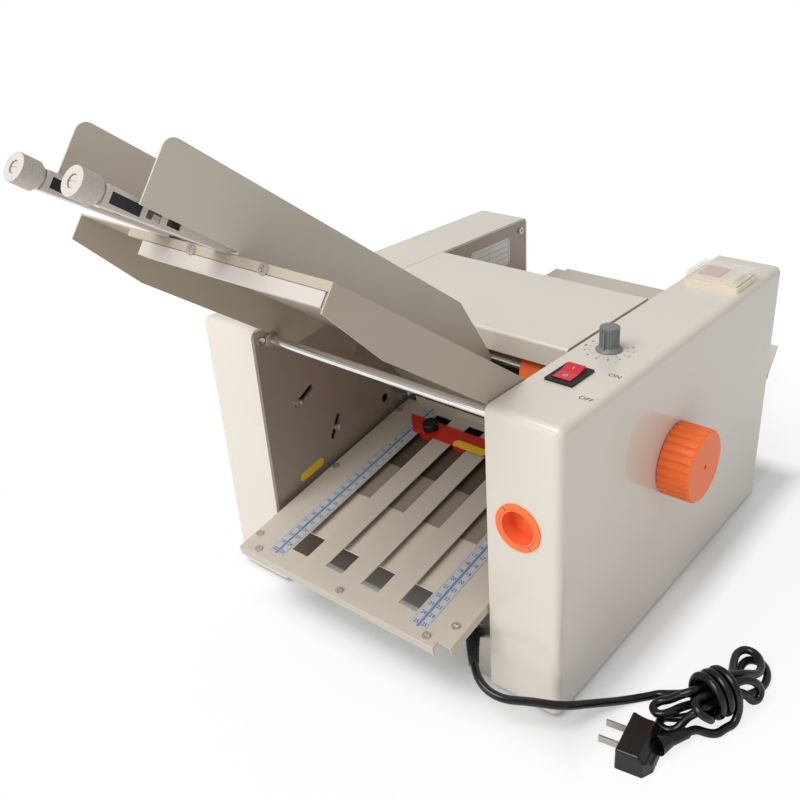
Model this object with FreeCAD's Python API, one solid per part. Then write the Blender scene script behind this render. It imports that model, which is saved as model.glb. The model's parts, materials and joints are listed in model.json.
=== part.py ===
import FreeCAD, Part
import math
import os

# Paper folding machine, in millimetres.
# X runs across the paper path to the control side, Y to the back, Z up from the desk.
# It is modelled from the middle of the paper path and the front face of the right housing,
# and every piece is moved by the same step at the end, so that the origin is on the desk in
# the middle of the machine's own footprint.

Vector = FreeCAD.Vector
X_AXIS = Vector(1, 0, 0)
Y_AXIS = Vector(0, 1, 0)
Z_AXIS = Vector(0, 0, 1)

# Driving sizes of the frame
foot_height = 6.5
foot_r = 11.0
foot_hole_r = 2.5
foot_hole_depth = 2.0
skirt_gap = 5.0
housing_top = 273.0
housing_width = 67.2
housing_length = 415.0
left_front_y = -6.0
gap_half = 124.8
sheet = 1.5
thin_sheet = 1.2
edge_r = 7.0
rim_edge_r = 2.5
rim_width = 3.0
plate_thick = 3.0
plate_recess = 0.3
plate_gap = 0.5
base_thick = 1.5
base_inset = 3.5
base_front = 34.0
overrun = 5.0
slide_gap = 0.3
run_gap = 0.05
seat_gap = 0.1

# Screws
screw_r = 2.0
screw_head_r = 3.6
screw_head_h = 1.6
screw_slot_depth = 0.7
screw_slot_width = 0.9

# Feed table, in its own tilted frame: x across, t down the slope, n out of the table
table_back_y = 110.4
table_back_z = 231.54
table_slope = 36.1
table_length = 300.0
table_edge_gap = 0.9
table_half = gap_half - table_edge_gap
table_front_y = table_back_y - table_length * math.cos(math.radians(table_slope))
table_front_z = table_back_z + table_length * math.sin(math.radians(table_slope))
wing_front_depth = 19.0
wing_taper_length = 64.0
wing_reach = 58.7
wing_length = (wing_reach - table_front_y) / math.cos(math.radians(table_slope))
table_lip_depth = 6.0
table_lip_left = -65.5
rail_left = -48.5
rail_right_inset = 2.9
rail_right = table_half - rail_right_inset
rail_top = 6.4
rail_bottom = 16.0
rail_back = 8.0
rail_step = 1.4
table_bracket_gap = 2.0
rail_screw_x = (1.0, 68.5)
rail_screw_drop = 3.6

# Side guides, in the table's frame
guide_x = 41.8
fin_thick = 1.2
fin_front = 72.3
fin_height = 44.3
fin_corner_r = 8.0
fin_slant = 70.6
fin_end_gap = 1.0
fin_end = table_length - fin_end_gap
fin_top_end = fin_end - fin_slant
fin_end_height = 16.6
fin_lift = 2.4
foot_flange = 17.0
foot_flange_front = 68.0
arm_x = 28.6
arm_width = 16.0
arm_length = 86.0
arm_root = 3.0
arm_top = 6.0
arm_bottom = 6.5
arm_root_bottom = 0.5
arm_wall = 1.5
strap_length = 40.0
window_shares = ((0.04, 0.27), (0.31, 0.42), (0.47, 0.58))
window_low = 4.2
window_high = 3.4
block_length = 22.0
knob_r = 8.9
knob_length = 12.0
knob_collar = 2.3
knob_collar_r = 7.2
knob_recess_r = 4.1
knob_recess = 1.6
knob_flutes = 60
flute_depth = 0.3
spindle_r = 2.5

# Tie bar and rods
bar_y = 14.8
bar_drop = 14.2
bar_z = housing_top - bar_drop
bar_r = 4.5
rod_r = 5.0
rear_rod_inset = 23.0
rod_places = ((60.0, 60.0), (housing_length - rear_rod_inset, 118.0))

# Centre cover
cover_front = 117.5
cover_rear = 259.0
cover_left_gap = 0.7
cover_right_gap = 3.2
cover_left = cover_left_gap - gap_half
cover_right = gap_half - cover_right_gap
cover_lip = 20.0
cover_tail = 9.0
cover_edge_r = 3.0
cover_side = 9.0
cover_lift_gap = 0.2
tab_size = 12.0
tab_inset = 14.0

# Fold trays, in their own tilted frame: x across, s from the outer end to the rollers, h up
tray_slope = 12.06
tray_z = 89.9
tray_middle = 1.8
tray_edge_gap = 2.8
tray_half = gap_half - tray_edge_gap
tray_front = -58.0
tray_back = 187.0
tray_notch_inset = 13.1
tray_notch_x = tray_middle + tray_half - tray_notch_inset
tray_notch = 7.0
tray_lip = 9.0
tray_inner_lip = 8.5
tray_lip_inset = 13.0
tray_flange = 9.0
slot_pitch = 42.8
slot_width = 20.2
slot_front = -36.0
slot_back = 178.0
lower_front = -9.0
lower_back = 183.0
channel = 4.8
spacer_width = 6.0
# Side of the tray, distance in from its edge (none for the middle one), distance up the slope
tray_screws = ((-1, 19.2, -51.0), (0, 0, -51.0), (1, 24.8, -51.0), (1, 9.3, -32.0),
               (-1, 5.2, -37.0), (-1, 5.2, 67.0), (-1, 5.2, 166.5))
ruler_inset = 37.7
ruler_x = tray_half - ruler_inset
ruler_width = 17.0
ruler_front = -47.0
ruler_back = 184.0
ruler_thick = 0.3
nip_distance = 207.0
rear_slope = 4.5
rear_front = -84.0
tray_shelf = 14.0
shelf_front_share = (0.36, 0.62)
shelf_length = 16.0

# Paper stops, on the trays
stop_distance = 145.0
stop_width = 21.0
stop_half = 100.0
stop_point = 20.0
stop_thick = 1.6
stop_lift = 0.4
finger_width = 14.0
finger_thick = 1.6
finger_depth = 4.9
stop_bolt_r = 2.0
stop_knob_r = 8.0
stop_knob_h = 8.5
stop_knob_distance = 155.5
nut_half = 13.0
nut_back = 6.5
rear_stop_shift = -30.0

# Fold rollers
roller_radius = 17.0
shaft_r = 5.0
nip_angle_ab = 4.5
nip_angle_cd = 9.8
roller_end_gap = 14.8
roller_half = gap_half - roller_end_gap
bush_r = 8.0
bush_flange_r = 9.5
bush_flange = 1.2
gear_module = 1.0
gear_width = 8.0
gear_gap = 2.2
gear_teeth = 34
drive_teeth = 36
hand_teeth = 68
hand_angle = 23.6
tooth_share = 0.42
tip_share = 0.24
feed_clear = 0.4

# Feed shaft, tyres and separator
feed_beyond = 24.0
feed_distance = table_length + feed_beyond
feed_r = 20.0
tyre_inner_r = 12.0
tyre_places = ((-100.0, -70.0), (-15.0, 15.0), (70.0, 100.0))
separator_width = 60.0
separator_length = 26.0
separator_thick = 6.0
pad_width = 28.0
pad_thick = 2.0
separator_bar = (14.0, 10.0)
chute_slope = 60.0

# Hand shaft and knob
hand_knob_r = 33.8
hand_knob_length = 30.0
hand_knob_gap = 0.8
hand_knob_flutes = 28
hand_flute_depth = 1.4
hand_hub_r = 9.0
hand_hole_r = 2.2
set_screw_r = 3.0
set_screw_angle = -118.0
bearing_plate_gap = 2.0
pillar_r = 4.0
pillar_places = ((172.0, 118.0), (226.0, 94.0), (238.0, 148.0))

# Motor and belts
motor_y = 108.0
motor_z = 52.0
motor_r = 29.0
motor_length = 84.0
motor_boss_r = 12.0
motor_pulley_r = 9.0
roller_pulley_r = 22.5
pulley_width = 9.0
pulley_rim = 1.2
pulley_rim_width = 1.2
belt_thick = 1.4
belt_gap = 0.3
feed_pulley_r = 14.0
roller_a_pulley_r = 11.0

# Controls on the top of the right housing
switch_in = 24.6
switch_x = gap_half + switch_in
switch_y = 76.9
switch_length = 33.0
switch_width = 25.0
switch_frame = 2.6
switch_lip = 2.2
switch_depth = 22.0
rocker_gap = 0.5
rocker_end_h = 4.6
rocker_middle_h = 3.2
rocker_depth = 5.5
rocker_tilt = 7.0
rocker_pin_r = 1.5
rocker_pin_length = 0.9
dial_in = 24.9
dial_x = gap_half + dial_in
dial_y = 137.0
dial_r = 8.4
dial_skirt_r = 11.4
dial_height = 20.0
dial_skirt = 3.0
dial_gap = 0.6
dial_ribs = 24
dial_rib_depth = 0.5
dial_hole_depth = 12.0
pot_r = 12.0
pot_depth = 14.0
pot_spindle_r = 3.0
pot_thread_r = 4.5
counter_in = 5.2
counter_width = 56.0
counter_length = 48.0
counter_back_inset = 54.0
counter_left = gap_half + counter_in
counter_right = counter_left + counter_width
counter_back = housing_length - counter_back_inset
counter_front = counter_back - counter_length
counter_base_h = 5.0
counter_cover_h = 7.5
counter_cover_inset = 1.5
counter_edge_r = 3.0
counter_wall = 1.4
display_inset = 9.0
display_h = 3.0

# Round knob in the front face
port_in = 29.4
port_x = gap_half + port_in
port_z = 177.4
port_hole_r = 18.6
port_ring_r = 20.6
port_ring_thick = 1.2
port_cup_r = 16.2
port_cup_depth = 15.0
port_cup_wall = 1.6
port_shaft_r = 3.0
port_shaft_length = 24.0
port_bridge = 3.2
port_bracket_width = 26.0

# Control board
board_thick = 1.6
board_front = 24.0
board_back = 104.0
board_low = 66.0
board_high = 136.0
board_spacer = 8.0
board_spacer_r = 3.0
board_inset = 6.0
board_part_heights = (14.0, 20.0, 10.0)

# Delivery tray behind the machine
delivery_edge_gap = 9.8
delivery_half = gap_half - delivery_edge_gap
delivery_y = (221.0, 275.0, 646.5, 671.8)
delivery_z = (86.0, 46.0, 37.0, 69.0)
delivery_side = 7.0
stand_y = 596.0
stand_foot = 18.0
hook_inset = 35.0
hook_y = housing_length - hook_inset

# Wall details
wall_slots = ((35.3, 184.0, 53.5, 194.4), (75.2, 130.4, 84.8, 150.0))
wall_slot_r = 3.0
wall_hole = (152.9, 141.0)
wall_hole_r = 5.0
rear_screw_inset = 13.0
rear_screw_drop = 13.3
wall_screws = ((37.0, 185.0), (81.0, 139.0),
               (housing_length - rear_screw_inset, housing_top - rear_screw_drop))
front_screw_inset = 9.5
front_screw_drop = 12.7
front_screw_z = housing_top - front_screw_drop
wall_screw_r = 4.0
wall_screw_h = 2.2
latch_front = 168.2
latch_z = 137.2
latch_slope = 7.3
latch_spring_front = 177.5
latch_spring_back = 190.5
latch_x_gap = 6.2
latch_pin_r = 1.6
latch_head_r = 3.2
latch_head = 3.0
latch_block = 3.5
spring_r = 3.0
spring_wire_r = 0.5
spring_turns = 6

# Cord: gland, lead, hank and plug
cord_d = 7.0
gland_r = 7.5
gland_neck_r = 6.0
gland_front = 3.0
gland_length = 12.0
bracket_width = 26.5
bracket_left = gap_half - slide_gap - bracket_width
bracket_top = 62.0
bracket_flange = 14.0
plug_centre = (263.0, 12.0)
plug_turn = 9.0
plug_pin_side = -14.0
plug_front = -24.0
plug_back = 20.0
plug_far_side = 15.0
plug_shoulder = 9.0
plug_hollow = 3.0
plug_height = 20.0
plug_slope_foot = 8.0
plug_slope_top = 5.0
plug_edge_r = 2.0
plug_groove = 1.4
plug_groove_heights = (10.0, 14.0)
neck_r = 4.4
neck_mid_r = 5.0
neck_root_r = 8.5
neck_slim = 16.0
neck_length = 28.0
pin_length = 18.0
pin_width = 6.3
pin_thick = 1.6
pin_spacing = 17.5
pin_z = 10.5
# The hank lies in a frame of its own: along the waist, across it, and up from the desk
hank_place = (291.5, 82.0)
hank_heading = 62.0
strand_rest = 3.9
strand_ring_r = 8.4
strand_angles = (0, 60, 300, 240, 180, 120)
strand_straight = (5.0, 13.0)
waist_mouth = 19.0
mouth_spread = 1.06
turn_r = 16.8
waist_turns = 3
turn_pitch = 8.1
first_turn_at = -12.6
least_gap = 0.4
least_rise = 0.0001
gap_step = 1.0
# Loops beyond the waist's two ends, from one inner strand to the next
loops = (
    ((29.0, 14.0, 17.0), (42.0, 26.0, 13.5), (53.0, 34.5, 12.0), (62.0, 35.0, 12.0),
     (66.5, 27.0, 12.0), (62.5, 15.5, 12.0), (51.0, 6.5, 15.0), (36.0, 4.5, 22.5)),
    ((27.0, 8.0, 24.5), (34.0, 13.5, 17.5), (41.0, 18.5, 13.2), (47.5, 16.5, 12.0),
     (48.0, 9.5, 12.2), (41.0, 5.6, 13.4), (29.0, 4.9, 14.2)),
    ((30.0, 10.0, 8.0), (42.0, 19.0, 3.9), (54.0, 28.0, 3.9), (64.0, 29.5, 3.9),
     (70.0, 21.0, 3.9), (65.0, 9.0, 3.9), (53.0, 0.5, 3.9), (38.0, -2.5, 5.2), (28.0, -3.6, 9.5)),
    ((25.0, -1.2, 8.2), (33.0, 4.8, 4.3), (41.0, 9.4, 3.9), (47.8, 6.2, 3.9),
     (46.5, -1.5, 3.9), (39.5, -5.0, 5.7), (31.5, -5.6, 12.2), (25.0, -7.9, 18.4)),
    ((25.5, -10.6, 16.2), (31.0, -12.6, 10.2), (37.5, -12.0, 9.6),
     (40.5, -9.5, 15.5), (36.0, -7.0, 22.5), (28.0, -5.2, 27.2)),
)
hank_way_in = ((-24.5, 25.0, 8.5), (-19.5, 15.0, 16.0))
way_to_turns = ((-20.0, -5.5, 28.2), (-26.0, -9.2, 28.6), (-26.5, -16.5, 26.5), (-18.5, -19.2, 19.0))
way_to_plug = ((11.3, -18.0, 12.6), (5.0, -21.0, 5.2), (-4.0, -21.6, 3.9), (-12.5, -22.6, 3.9),
               (-20.0, -19.8, 5.2))
hank_end = (-37.0, -15.5, 9.5)
lead_route = (
    (107.6, -1.5, 49.2), (119.5, -18.0, 44.6), (138.0, -33.5, 37.5), (160.0, -34.5, 34.0),
    (180.0, -20.5, 32.0), (201.0, -7.5, 28.0), (213.0, 19.5, 15.5), (226.0, 46.0, 3.9),
    (243.0, 64.5, 3.9))

# Worked out from the sizes above
outer_x = gap_half + housing_width
wall_face = gap_half + plate_recess
wall_back = wall_face + plate_thick
floor_z = foot_height + base_thick
plate_low = floor_z
plate_high = housing_top - rim_width - plate_gap
tray_sin = math.sin(math.radians(tray_slope))
tray_cos = math.cos(math.radians(tray_slope))
mid_channel = thin_sheet + channel / 2


def polar(angle, length):
    """Step of a length at an angle in the Y-Z plane, from +Y towards +Z."""
    a = math.radians(angle)
    return Vector(0, length * math.cos(a), length * math.sin(a))


nip_bc = Vector(0, nip_distance * tray_cos + mid_channel * tray_sin,
                tray_z + nip_distance * tray_sin - mid_channel * tray_cos)
roller_b = nip_bc + polar(90 + tray_slope, roller_radius)
roller_c = nip_bc - polar(90 + tray_slope, roller_radius)
nip_ab = roller_b + polar(90 + nip_angle_ab, roller_radius)
roller_a = roller_b + polar(90 + nip_angle_ab, 2 * roller_radius)
roller_d = roller_c - polar(90 - nip_angle_cd, 2 * roller_radius)
hand_axis = roller_c + polar(90 + hand_angle, gear_module * (drive_teeth + hand_teeth) / 2)

table_frame = FreeCAD.Placement(Vector(0, table_front_y, table_front_z),
                                FreeCAD.Rotation(X_AXIS, -table_slope))
tray_frame = FreeCAD.Placement(Vector(0, 0, tray_z), FreeCAD.Rotation(X_AXIS, tray_slope))
rear_turn = FreeCAD.Rotation(X_AXIS, rear_slope).multiply(FreeCAD.Rotation(Z_AXIS, 180))
rear_origin = nip_ab + polar(rear_slope, nip_distance) + polar(90 + rear_slope, mid_channel)
rear_frame = FreeCAD.Placement(rear_origin, rear_turn)

feed_axis = table_frame.multVec(Vector(0, feed_distance, feed_r + feed_clear))
gear_x = wall_back + bush_flange + gear_gap
drive_gear_x = gear_x + gear_width + gear_gap
bearing_x = drive_gear_x + gear_width + bearing_plate_gap
pulley_x = bearing_x + plate_thick + bearing_plate_gap

footprint_left = -outer_x
footprint_right = outer_x + hand_knob_gap + hand_knob_length
knob_tip = table_frame.multVec(Vector(0, -arm_root - arm_length - knob_collar - knob_length, -knob_r))
footprint_front = knob_tip.y
footprint_back = delivery_y[3]
origin = Vector((footprint_left + footprint_right) / 2, (footprint_front + footprint_back) / 2, 0)

shapes = {}
groups = {}


def add(name, shape):
    """Keep a piece under its node name."""
    shapes[name] = shape


def collect(name, pieces):
    """Put separate pieces of one kind together under one node name."""
    groups.setdefault(name, []).extend([solid for piece in pieces for solid in piece.Solids])


def box(x0, x1, y0, y1, z0, z1):
    return Part.makeBox(x1 - x0, y1 - y0, z1 - z0, Vector(x0, y0, z0))


def rod(point, direction, radius, length):
    return Part.makeCylinder(radius, length, point, direction)


def rod_x(x0, x1, axis, radius):
    return rod(Vector(x0, axis.y, axis.z), X_AXIS, radius, x1 - x0)


def tube_x(x0, x1, axis, radius, bore):
    return rod_x(x0, x1, axis, radius).cut(rod_x(x0 - overrun, x1 + overrun, axis, bore))


def prism(points, step):
    """Closed outline of corner points, pushed along a step."""
    wire = Part.makePolygon(points + [points[0]])
    return Part.Face(wire).extrude(step)


def group(solids):
    return Part.makeCompound(solids)


def mirrored(shape):
    return shape.mirror(Vector(0, 0, 0), X_AXIS)


def side(shape, sign):
    """The shape as made for the control side, or mirrored for the other side."""
    return shape if sign > 0 else mirrored(shape)


def round_edges(shape, radius, wanted):
    """Fillet the edges whose middle point is wanted."""
    edges = [e for e in shape.Edges if wanted(e.CenterOfMass, e)]
    return shape.makeFillet(radius, edges)


def placed(shape, frame):
    moved = shape.copy()
    moved.Placement = frame.multiply(moved.Placement)
    return moved


def pan_screw(point, direction, shank):
    """Pan-head screw with its head's underside at the point and its shank behind it."""
    head = rod(point, direction, screw_head_r, screw_head_h)
    body = rod(point, direction * -1, screw_r - run_gap, shank)
    side_step = direction.cross(X_AXIS if abs(direction.x) < 0.9 else Y_AXIS)
    side_step.normalize()
    other = direction.cross(side_step)
    top = point + direction * (screw_head_h - screw_slot_depth)
    recess = []
    for along, across in ((side_step, other), (other, side_step)):
        corner = top - along * (screw_head_r * 0.6) - across * (screw_slot_width / 2)
        face = Part.Face(Part.makePolygon([
            corner, corner + along * (screw_head_r * 1.2),
            corner + along * (screw_head_r * 1.2) + across * screw_slot_width,
            corner + across * screw_slot_width, corner]))
        recess.append(face.extrude(direction * overrun))
    return head.fuse(body).cut(recess[0].fuse(recess[1])).removeSplitter()


def spur_gear(axis, x0, width, teeth, bore, phase):
    """Gear with straight-sided teeth round an axis along X; phase turns it by parts of a pitch."""
    pitch_r = gear_module * teeth / 2
    tip_r = pitch_r + gear_module
    root_r = pitch_r - gear_module * 1.25
    pitch = 2 * math.pi / teeth
    points = []
    for i in range(teeth):
        middle = (i + phase) * pitch
        for r, share in ((root_r, -tooth_share), (tip_r, -tip_share), (tip_r, tip_share),
                         (root_r, tooth_share)):
            a = middle + share * pitch * 0.5 * (pitch_r / r)
            points.append(Vector(x0, axis.y + r * math.cos(a), axis.z + r * math.sin(a)))
    blank = prism(points, Vector(width, 0, 0))
    return blank.cut(rod_x(x0 - overrun, x0 + width + overrun, axis, bore))


def flat_pulley(axis, x0, radius, bore):
    """Belt pulley with a rim on each side."""
    x1 = x0 + pulley_width
    wheel = rod_x(x0, x1, axis, radius)
    for rim_x in (x0, x1 - pulley_rim_width):
        wheel = wheel.fuse(rod_x(rim_x, rim_x + pulley_rim_width, axis, radius + pulley_rim + belt_gap))
    return wheel.cut(rod_x(x0 - overrun, x1 + overrun, axis, bore)).removeSplitter()


def belt_outline(x, centre_1, r1, centre_2, r2):
    """Closed line round two circles in a plane across X."""
    step = centre_2 - centre_1
    distance = step.Length
    heading = math.atan2(step.z, step.y)
    lean = math.acos((r1 - r2) / distance)

    def on(centre, r, angle):
        return Vector(x, centre.y + r * math.cos(angle), centre.z + r * math.sin(angle))

    up, down = heading + lean, heading - lean
    return Part.Wire([
        Part.LineSegment(on(centre_1, r1, up), on(centre_2, r2, up)).toShape(),
        Part.Arc(on(centre_2, r2, up), on(centre_2, r2, heading), on(centre_2, r2, down)).toShape(),
        Part.LineSegment(on(centre_2, r2, down), on(centre_1, r1, down)).toShape(),
        Part.Arc(on(centre_1, r1, down), on(centre_1, r1, heading + math.pi),
                 on(centre_1, r1, up)).toShape()])


def belt(x0, centre_1, r1, centre_2, r2):
    """Flat belt that runs between the rims of two pulleys."""
    x = x0 + pulley_rim_width + belt_gap
    width = pulley_width - 2 * (pulley_rim_width + belt_gap)
    inner = Part.Face(belt_outline(x, centre_1, r1 + belt_gap, centre_2, r2 + belt_gap))
    outer = Part.Face(belt_outline(x, centre_1, r1 + belt_gap + belt_thick, centre_2,
                                   r2 + belt_gap + belt_thick))
    return outer.cut(inner).extrude(Vector(width, 0, 0))


def housing_block(front, inset):
    """Rounded block of a housing, drawn in by an inset, with its inner side at the paper path."""
    block = box(gap_half + inset, outer_x - inset, front + inset, housing_length - inset,
                skirt_gap - overrun, housing_top - inset)
    top = housing_top - inset
    far = outer_x - inset
    big = edge_r - inset

    def outer_edge(p, e):
        on_top = abs(p.z - top) < seat_gap
        on_far = abs(p.x - far) < seat_gap
        on_end = min(abs(p.y - front - inset), abs(p.y - housing_length + inset)) < seat_gap
        return on_top + on_far + on_end >= 2 and p.z > 0

    block = round_edges(block, big, outer_edge)
    return block


def housing_cover(front):
    """Sheet cover: front, top, back and outer side, with a narrow rim round its open inner side."""
    outer = housing_block(front, 0)
    inner = housing_block(front, sheet)
    window = box(gap_half - overrun, gap_half + edge_r, front + rim_width, housing_length - rim_width,
                 0, housing_top - rim_width)
    below = box(gap_half - overrun, outer_x + overrun, front - overrun, housing_length + overrun,
                skirt_gap - 2 * overrun, skirt_gap)
    return outer.cut(inner).cut(window).cut(below).removeSplitter()


def make_housings():
    add("left_housing", mirrored(housing_cover(left_front_y)))
    right = housing_cover(0)
    top_low = housing_top - 2 * sheet
    top_high = housing_top + overrun
    right = right.cut(box(switch_x - switch_width / 2 + switch_frame,
                          switch_x + switch_width / 2 - switch_frame,
                          switch_y - switch_length / 2 + switch_frame,
                          switch_y + switch_length / 2 - switch_frame,
                          top_low, top_high))
    right = right.cut(rod(Vector(dial_x, dial_y, top_low), Z_AXIS, pot_thread_r + run_gap,
                          top_high - top_low))
    right = right.cut(rod(Vector(port_x, -overrun, port_z), Y_AXIS, port_hole_r, 2 * overrun))
    right = right.cut(rod_x(outer_x - 2 * sheet, outer_x + overrun, hand_axis, bush_r))
    add("right_housing", right)


def wall_screw_places(front):
    """Screw places of a frame plate; the left one reaches further forward and has one more."""
    return wall_screws + (((front + front_screw_inset, front_screw_z),) if front < 0 else ())


def wall_screw(y, z):
    """Socket-head screw through a frame plate, made for the control side."""
    head = rod(Vector(wall_face, y, z), X_AXIS * -1, wall_screw_r, wall_screw_h)
    shank = rod(Vector(wall_face, y, z), X_AXIS, screw_r - run_gap, plate_thick)
    socket = rod(Vector(wall_face - wall_screw_h / 2, y, z), X_AXIS * -1, wall_screw_r / 2, overrun)
    return head.fuse(shank).cut(socket).removeSplitter()


def frame_plate(front, sign):
    """Inner wall that carries the shafts, made for the control side."""
    plate = box(wall_face, wall_back, front + rim_width + plate_gap, housing_length - rim_width - plate_gap,
                plate_low, plate_high)
    cuts = [rod_x(wall_face - overrun, wall_back + overrun, axis, bush_r)
            for axis in (roller_a, roller_b, roller_c, roller_d, feed_axis)]
    for y0, z0, y1, z1 in wall_slots:
        cuts.append(slot_cut(y0, z0, y1, z1))
    cuts.append(rod_x(wall_face - overrun, wall_back + overrun, Vector(0, *wall_hole), wall_hole_r))
    for y, z in wall_screw_places(front):
        cuts.append(rod_x(wall_face - overrun, wall_back + overrun, Vector(0, y, z), screw_r))
    if sign > 0:
        motor_axis = Vector(0, motor_y, motor_z)
        cuts.append(rod_x(wall_face - overrun, wall_back + overrun, motor_axis, motor_boss_r + run_gap))
    return side(plate.cut(cuts), sign)


def slot_cut(y0, z0, y1, z1):
    """Round-ended slot through a frame plate."""
    start = Vector(wall_face - overrun, y0, z0)
    end = Vector(wall_face - overrun, y1, z1)
    along = end - start
    across = along.cross(X_AXIS)
    across.normalize()
    across = across * wall_slot_r
    through = Vector(plate_thick + 2 * overrun, 0, 0)
    middle = prism([start + across, end + across, end - across, start - across], through)
    ends = [Part.makeCylinder(wall_slot_r, through.x, p, X_AXIS) for p in (start, end)]
    return middle.fuse(ends)


def make_frame():
    collect("frame_plates", [frame_plate(0, 1), frame_plate(left_front_y, -1)])
    rim = base_inset
    base = box(-outer_x + rim, outer_x - rim, rim, housing_length - rim, foot_height, floor_z)
    open_front = box(-wall_face, wall_face, -overrun, base_front, 0, housing_top)
    foot_places = [(sign * (gap_half + outer_x) / 2, y) for sign in (-1, 1)
                   for y in (3 * foot_r, housing_length - 3 * foot_r)]
    feet = []
    for x, y in foot_places:
        foot = rod(Vector(x, y, 0), Z_AXIS, foot_r, foot_height)
        foot = foot.cut(rod(Vector(x, y, -overrun), Z_AXIS, foot_hole_r, overrun + foot_hole_depth))
        feet.append(foot)
    add("base_plate", base.cut(open_front))
    add("rubber_feet", group(feet))
    add("front_tie_bar", rod_x(-wall_face, wall_face, Vector(0, bar_y, bar_z), bar_r))
    collect("tie_rods", [rod_x(-wall_face, wall_face, Vector(0, y, z), rod_r) for y, z in rod_places])
    for sign, front in ((-1, left_front_y), (1, 0)):
        collect("cross_screws", [side(wall_screw(y, z), sign) for y, z in wall_screw_places(front)])


def make_cover():
    top = housing_top
    outer = box(cover_left, cover_right, cover_front, cover_rear, top - cover_lip, top)
    outer = round_edges(outer, cover_edge_r,
                        lambda p, e: (abs(p.z - top) < seat_gap
                                      and abs(p.x - (cover_left + cover_right) / 2) < seat_gap))
    inner = box(cover_left + sheet, cover_right - sheet, cover_front + sheet, cover_rear - sheet,
                top - cover_lip - overrun, top - sheet)
    cover = outer.cut(inner)
    below_sides = box(cover_left - overrun, cover_right + overrun, cover_front + sheet, cover_rear + overrun,
                      top - cover_lip - overrun, top - cover_side)
    add("centre_cover", cover.cut(below_sides).removeSplitter())
    shelf_top = top - cover_side - cover_lift_gap
    for y in (cover_front + tab_inset, cover_rear - tab_inset - tab_size):
        for sign in (-1, 1):
            shelf = box(wall_face - tab_size, wall_face, y, y + tab_size, shelf_top - sheet, shelf_top)
            leg = box(wall_face - sheet, wall_face, y, y + tab_size, shelf_top - tab_size, shelf_top)
            collect("frame_brackets", [side(shelf.fuse(leg).removeSplitter(), sign)])


def make_table():
    w = table_half
    pan = box(thin_sheet - w, w - thin_sheet, thin_sheet, table_length, -thin_sheet, 0)
    lip = box(table_lip_left, w - thin_sheet, 0, thin_sheet, -table_lip_depth, 0)
    edge = box(thin_sheet - w, table_lip_left, 0, thin_sheet, -thin_sheet, 0)
    bar_local = table_frame.inverse().multVec(Vector(0, bar_y, bar_z))
    depth = -bar_local.z - bar_r - seat_gap
    wings = []
    for x in (-w, w - thin_sheet):
        wings.append(prism([Vector(x, 0, 0), Vector(x, 0, -wing_front_depth),
                            Vector(x, wing_taper_length, -depth),
                            Vector(x, wing_length, -depth),
                            Vector(x, wing_length + depth, -thin_sheet), Vector(x, table_length, -thin_sheet),
                            Vector(x, table_length, 0)], Vector(thin_sheet, 0, 0)))
    table = pan.fuse([lip, edge] + wings).removeSplitter()
    for x in rail_screw_x:
        table = table.cut(rod(Vector(x, -overrun, -rail_screw_drop), Y_AXIS, screw_r, 2 * overrun))
    add("feed_table", placed(table, table_frame))
    rail_strip_top = thin_sheet + run_gap
    rail = prism([Vector(rail_left, 0, -rail_top), Vector(rail_left, thin_sheet, -rail_top),
                  Vector(rail_left, thin_sheet, -rail_strip_top),
                  Vector(rail_left, 2 * thin_sheet, -rail_strip_top),
                  Vector(rail_left, 2 * thin_sheet, -rail_top - thin_sheet),
                  Vector(rail_left, thin_sheet, -rail_top - thin_sheet),
                  Vector(rail_left, thin_sheet, -rail_bottom + thin_sheet),
                  Vector(rail_left, rail_back, -rail_bottom + thin_sheet),
                  Vector(rail_left, rail_back, -rail_bottom), Vector(rail_left, 0, -rail_bottom)],
                 Vector(rail_right - rail_left, 0, 0))
    for x in rail_screw_x:
        rail = rail.cut(rod(Vector(x, -overrun, -rail_screw_drop), Y_AXIS, screw_r, 3 * overrun))
    add("front_rail", placed(rail, table_frame))
    screws = [pan_screw(Vector(x, 0, -rail_screw_drop), Y_AXIS * -1, 2 * thin_sheet) for x in rail_screw_x]
    collect("cross_screws", [placed(screw, table_frame) for screw in screws])
    make_table_brackets(depth)


def make_table_brackets(depth):
    """Pads that join the table's rear wings to the frame plates."""
    for sign in (-1, 1):
        pad = box(table_half, wall_face, wing_length - 2 * tab_size + table_bracket_gap, wing_length,
                  -depth + table_bracket_gap, -depth + tab_size)
        collect("frame_brackets", [side(placed(pad, table_frame), sign)])


def fin():
    """Tall side guide with its foot flange, made for the control side."""
    x0 = guide_x - fin_thick / 2
    front, top, r = -fin_front, fin_height, fin_corner_r
    corner = r * (1 - math.sqrt(0.5))
    edges = [
        Part.LineSegment(Vector(x0, front, fin_lift), Vector(x0, front, top - r)),
        Part.Arc(Vector(x0, front, top - r), Vector(x0, front + corner, top - corner),
                 Vector(x0, front + r, top)),
        Part.LineSegment(Vector(x0, front + r, top), Vector(x0, fin_top_end, top)),
        Part.LineSegment(Vector(x0, fin_top_end, top), Vector(x0, fin_end, fin_end_height)),
        Part.LineSegment(Vector(x0, fin_end, fin_end_height), Vector(x0, fin_end, slide_gap)),
        Part.LineSegment(Vector(x0, fin_end, slide_gap), Vector(x0, 0, slide_gap)),
        Part.LineSegment(Vector(x0, 0, slide_gap), Vector(x0, 0, fin_lift)),
        Part.LineSegment(Vector(x0, 0, fin_lift), Vector(x0, front, fin_lift))]
    plate = Part.Face(Part.Wire([e.toShape() for e in edges])).extrude(Vector(fin_thick, 0, 0))
    foot = box(guide_x - foot_flange, x0, 0, fin_end - foot_flange_front / 2, slide_gap,
               slide_gap + thin_sheet)
    return plate.fuse(foot).removeSplitter()


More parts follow.
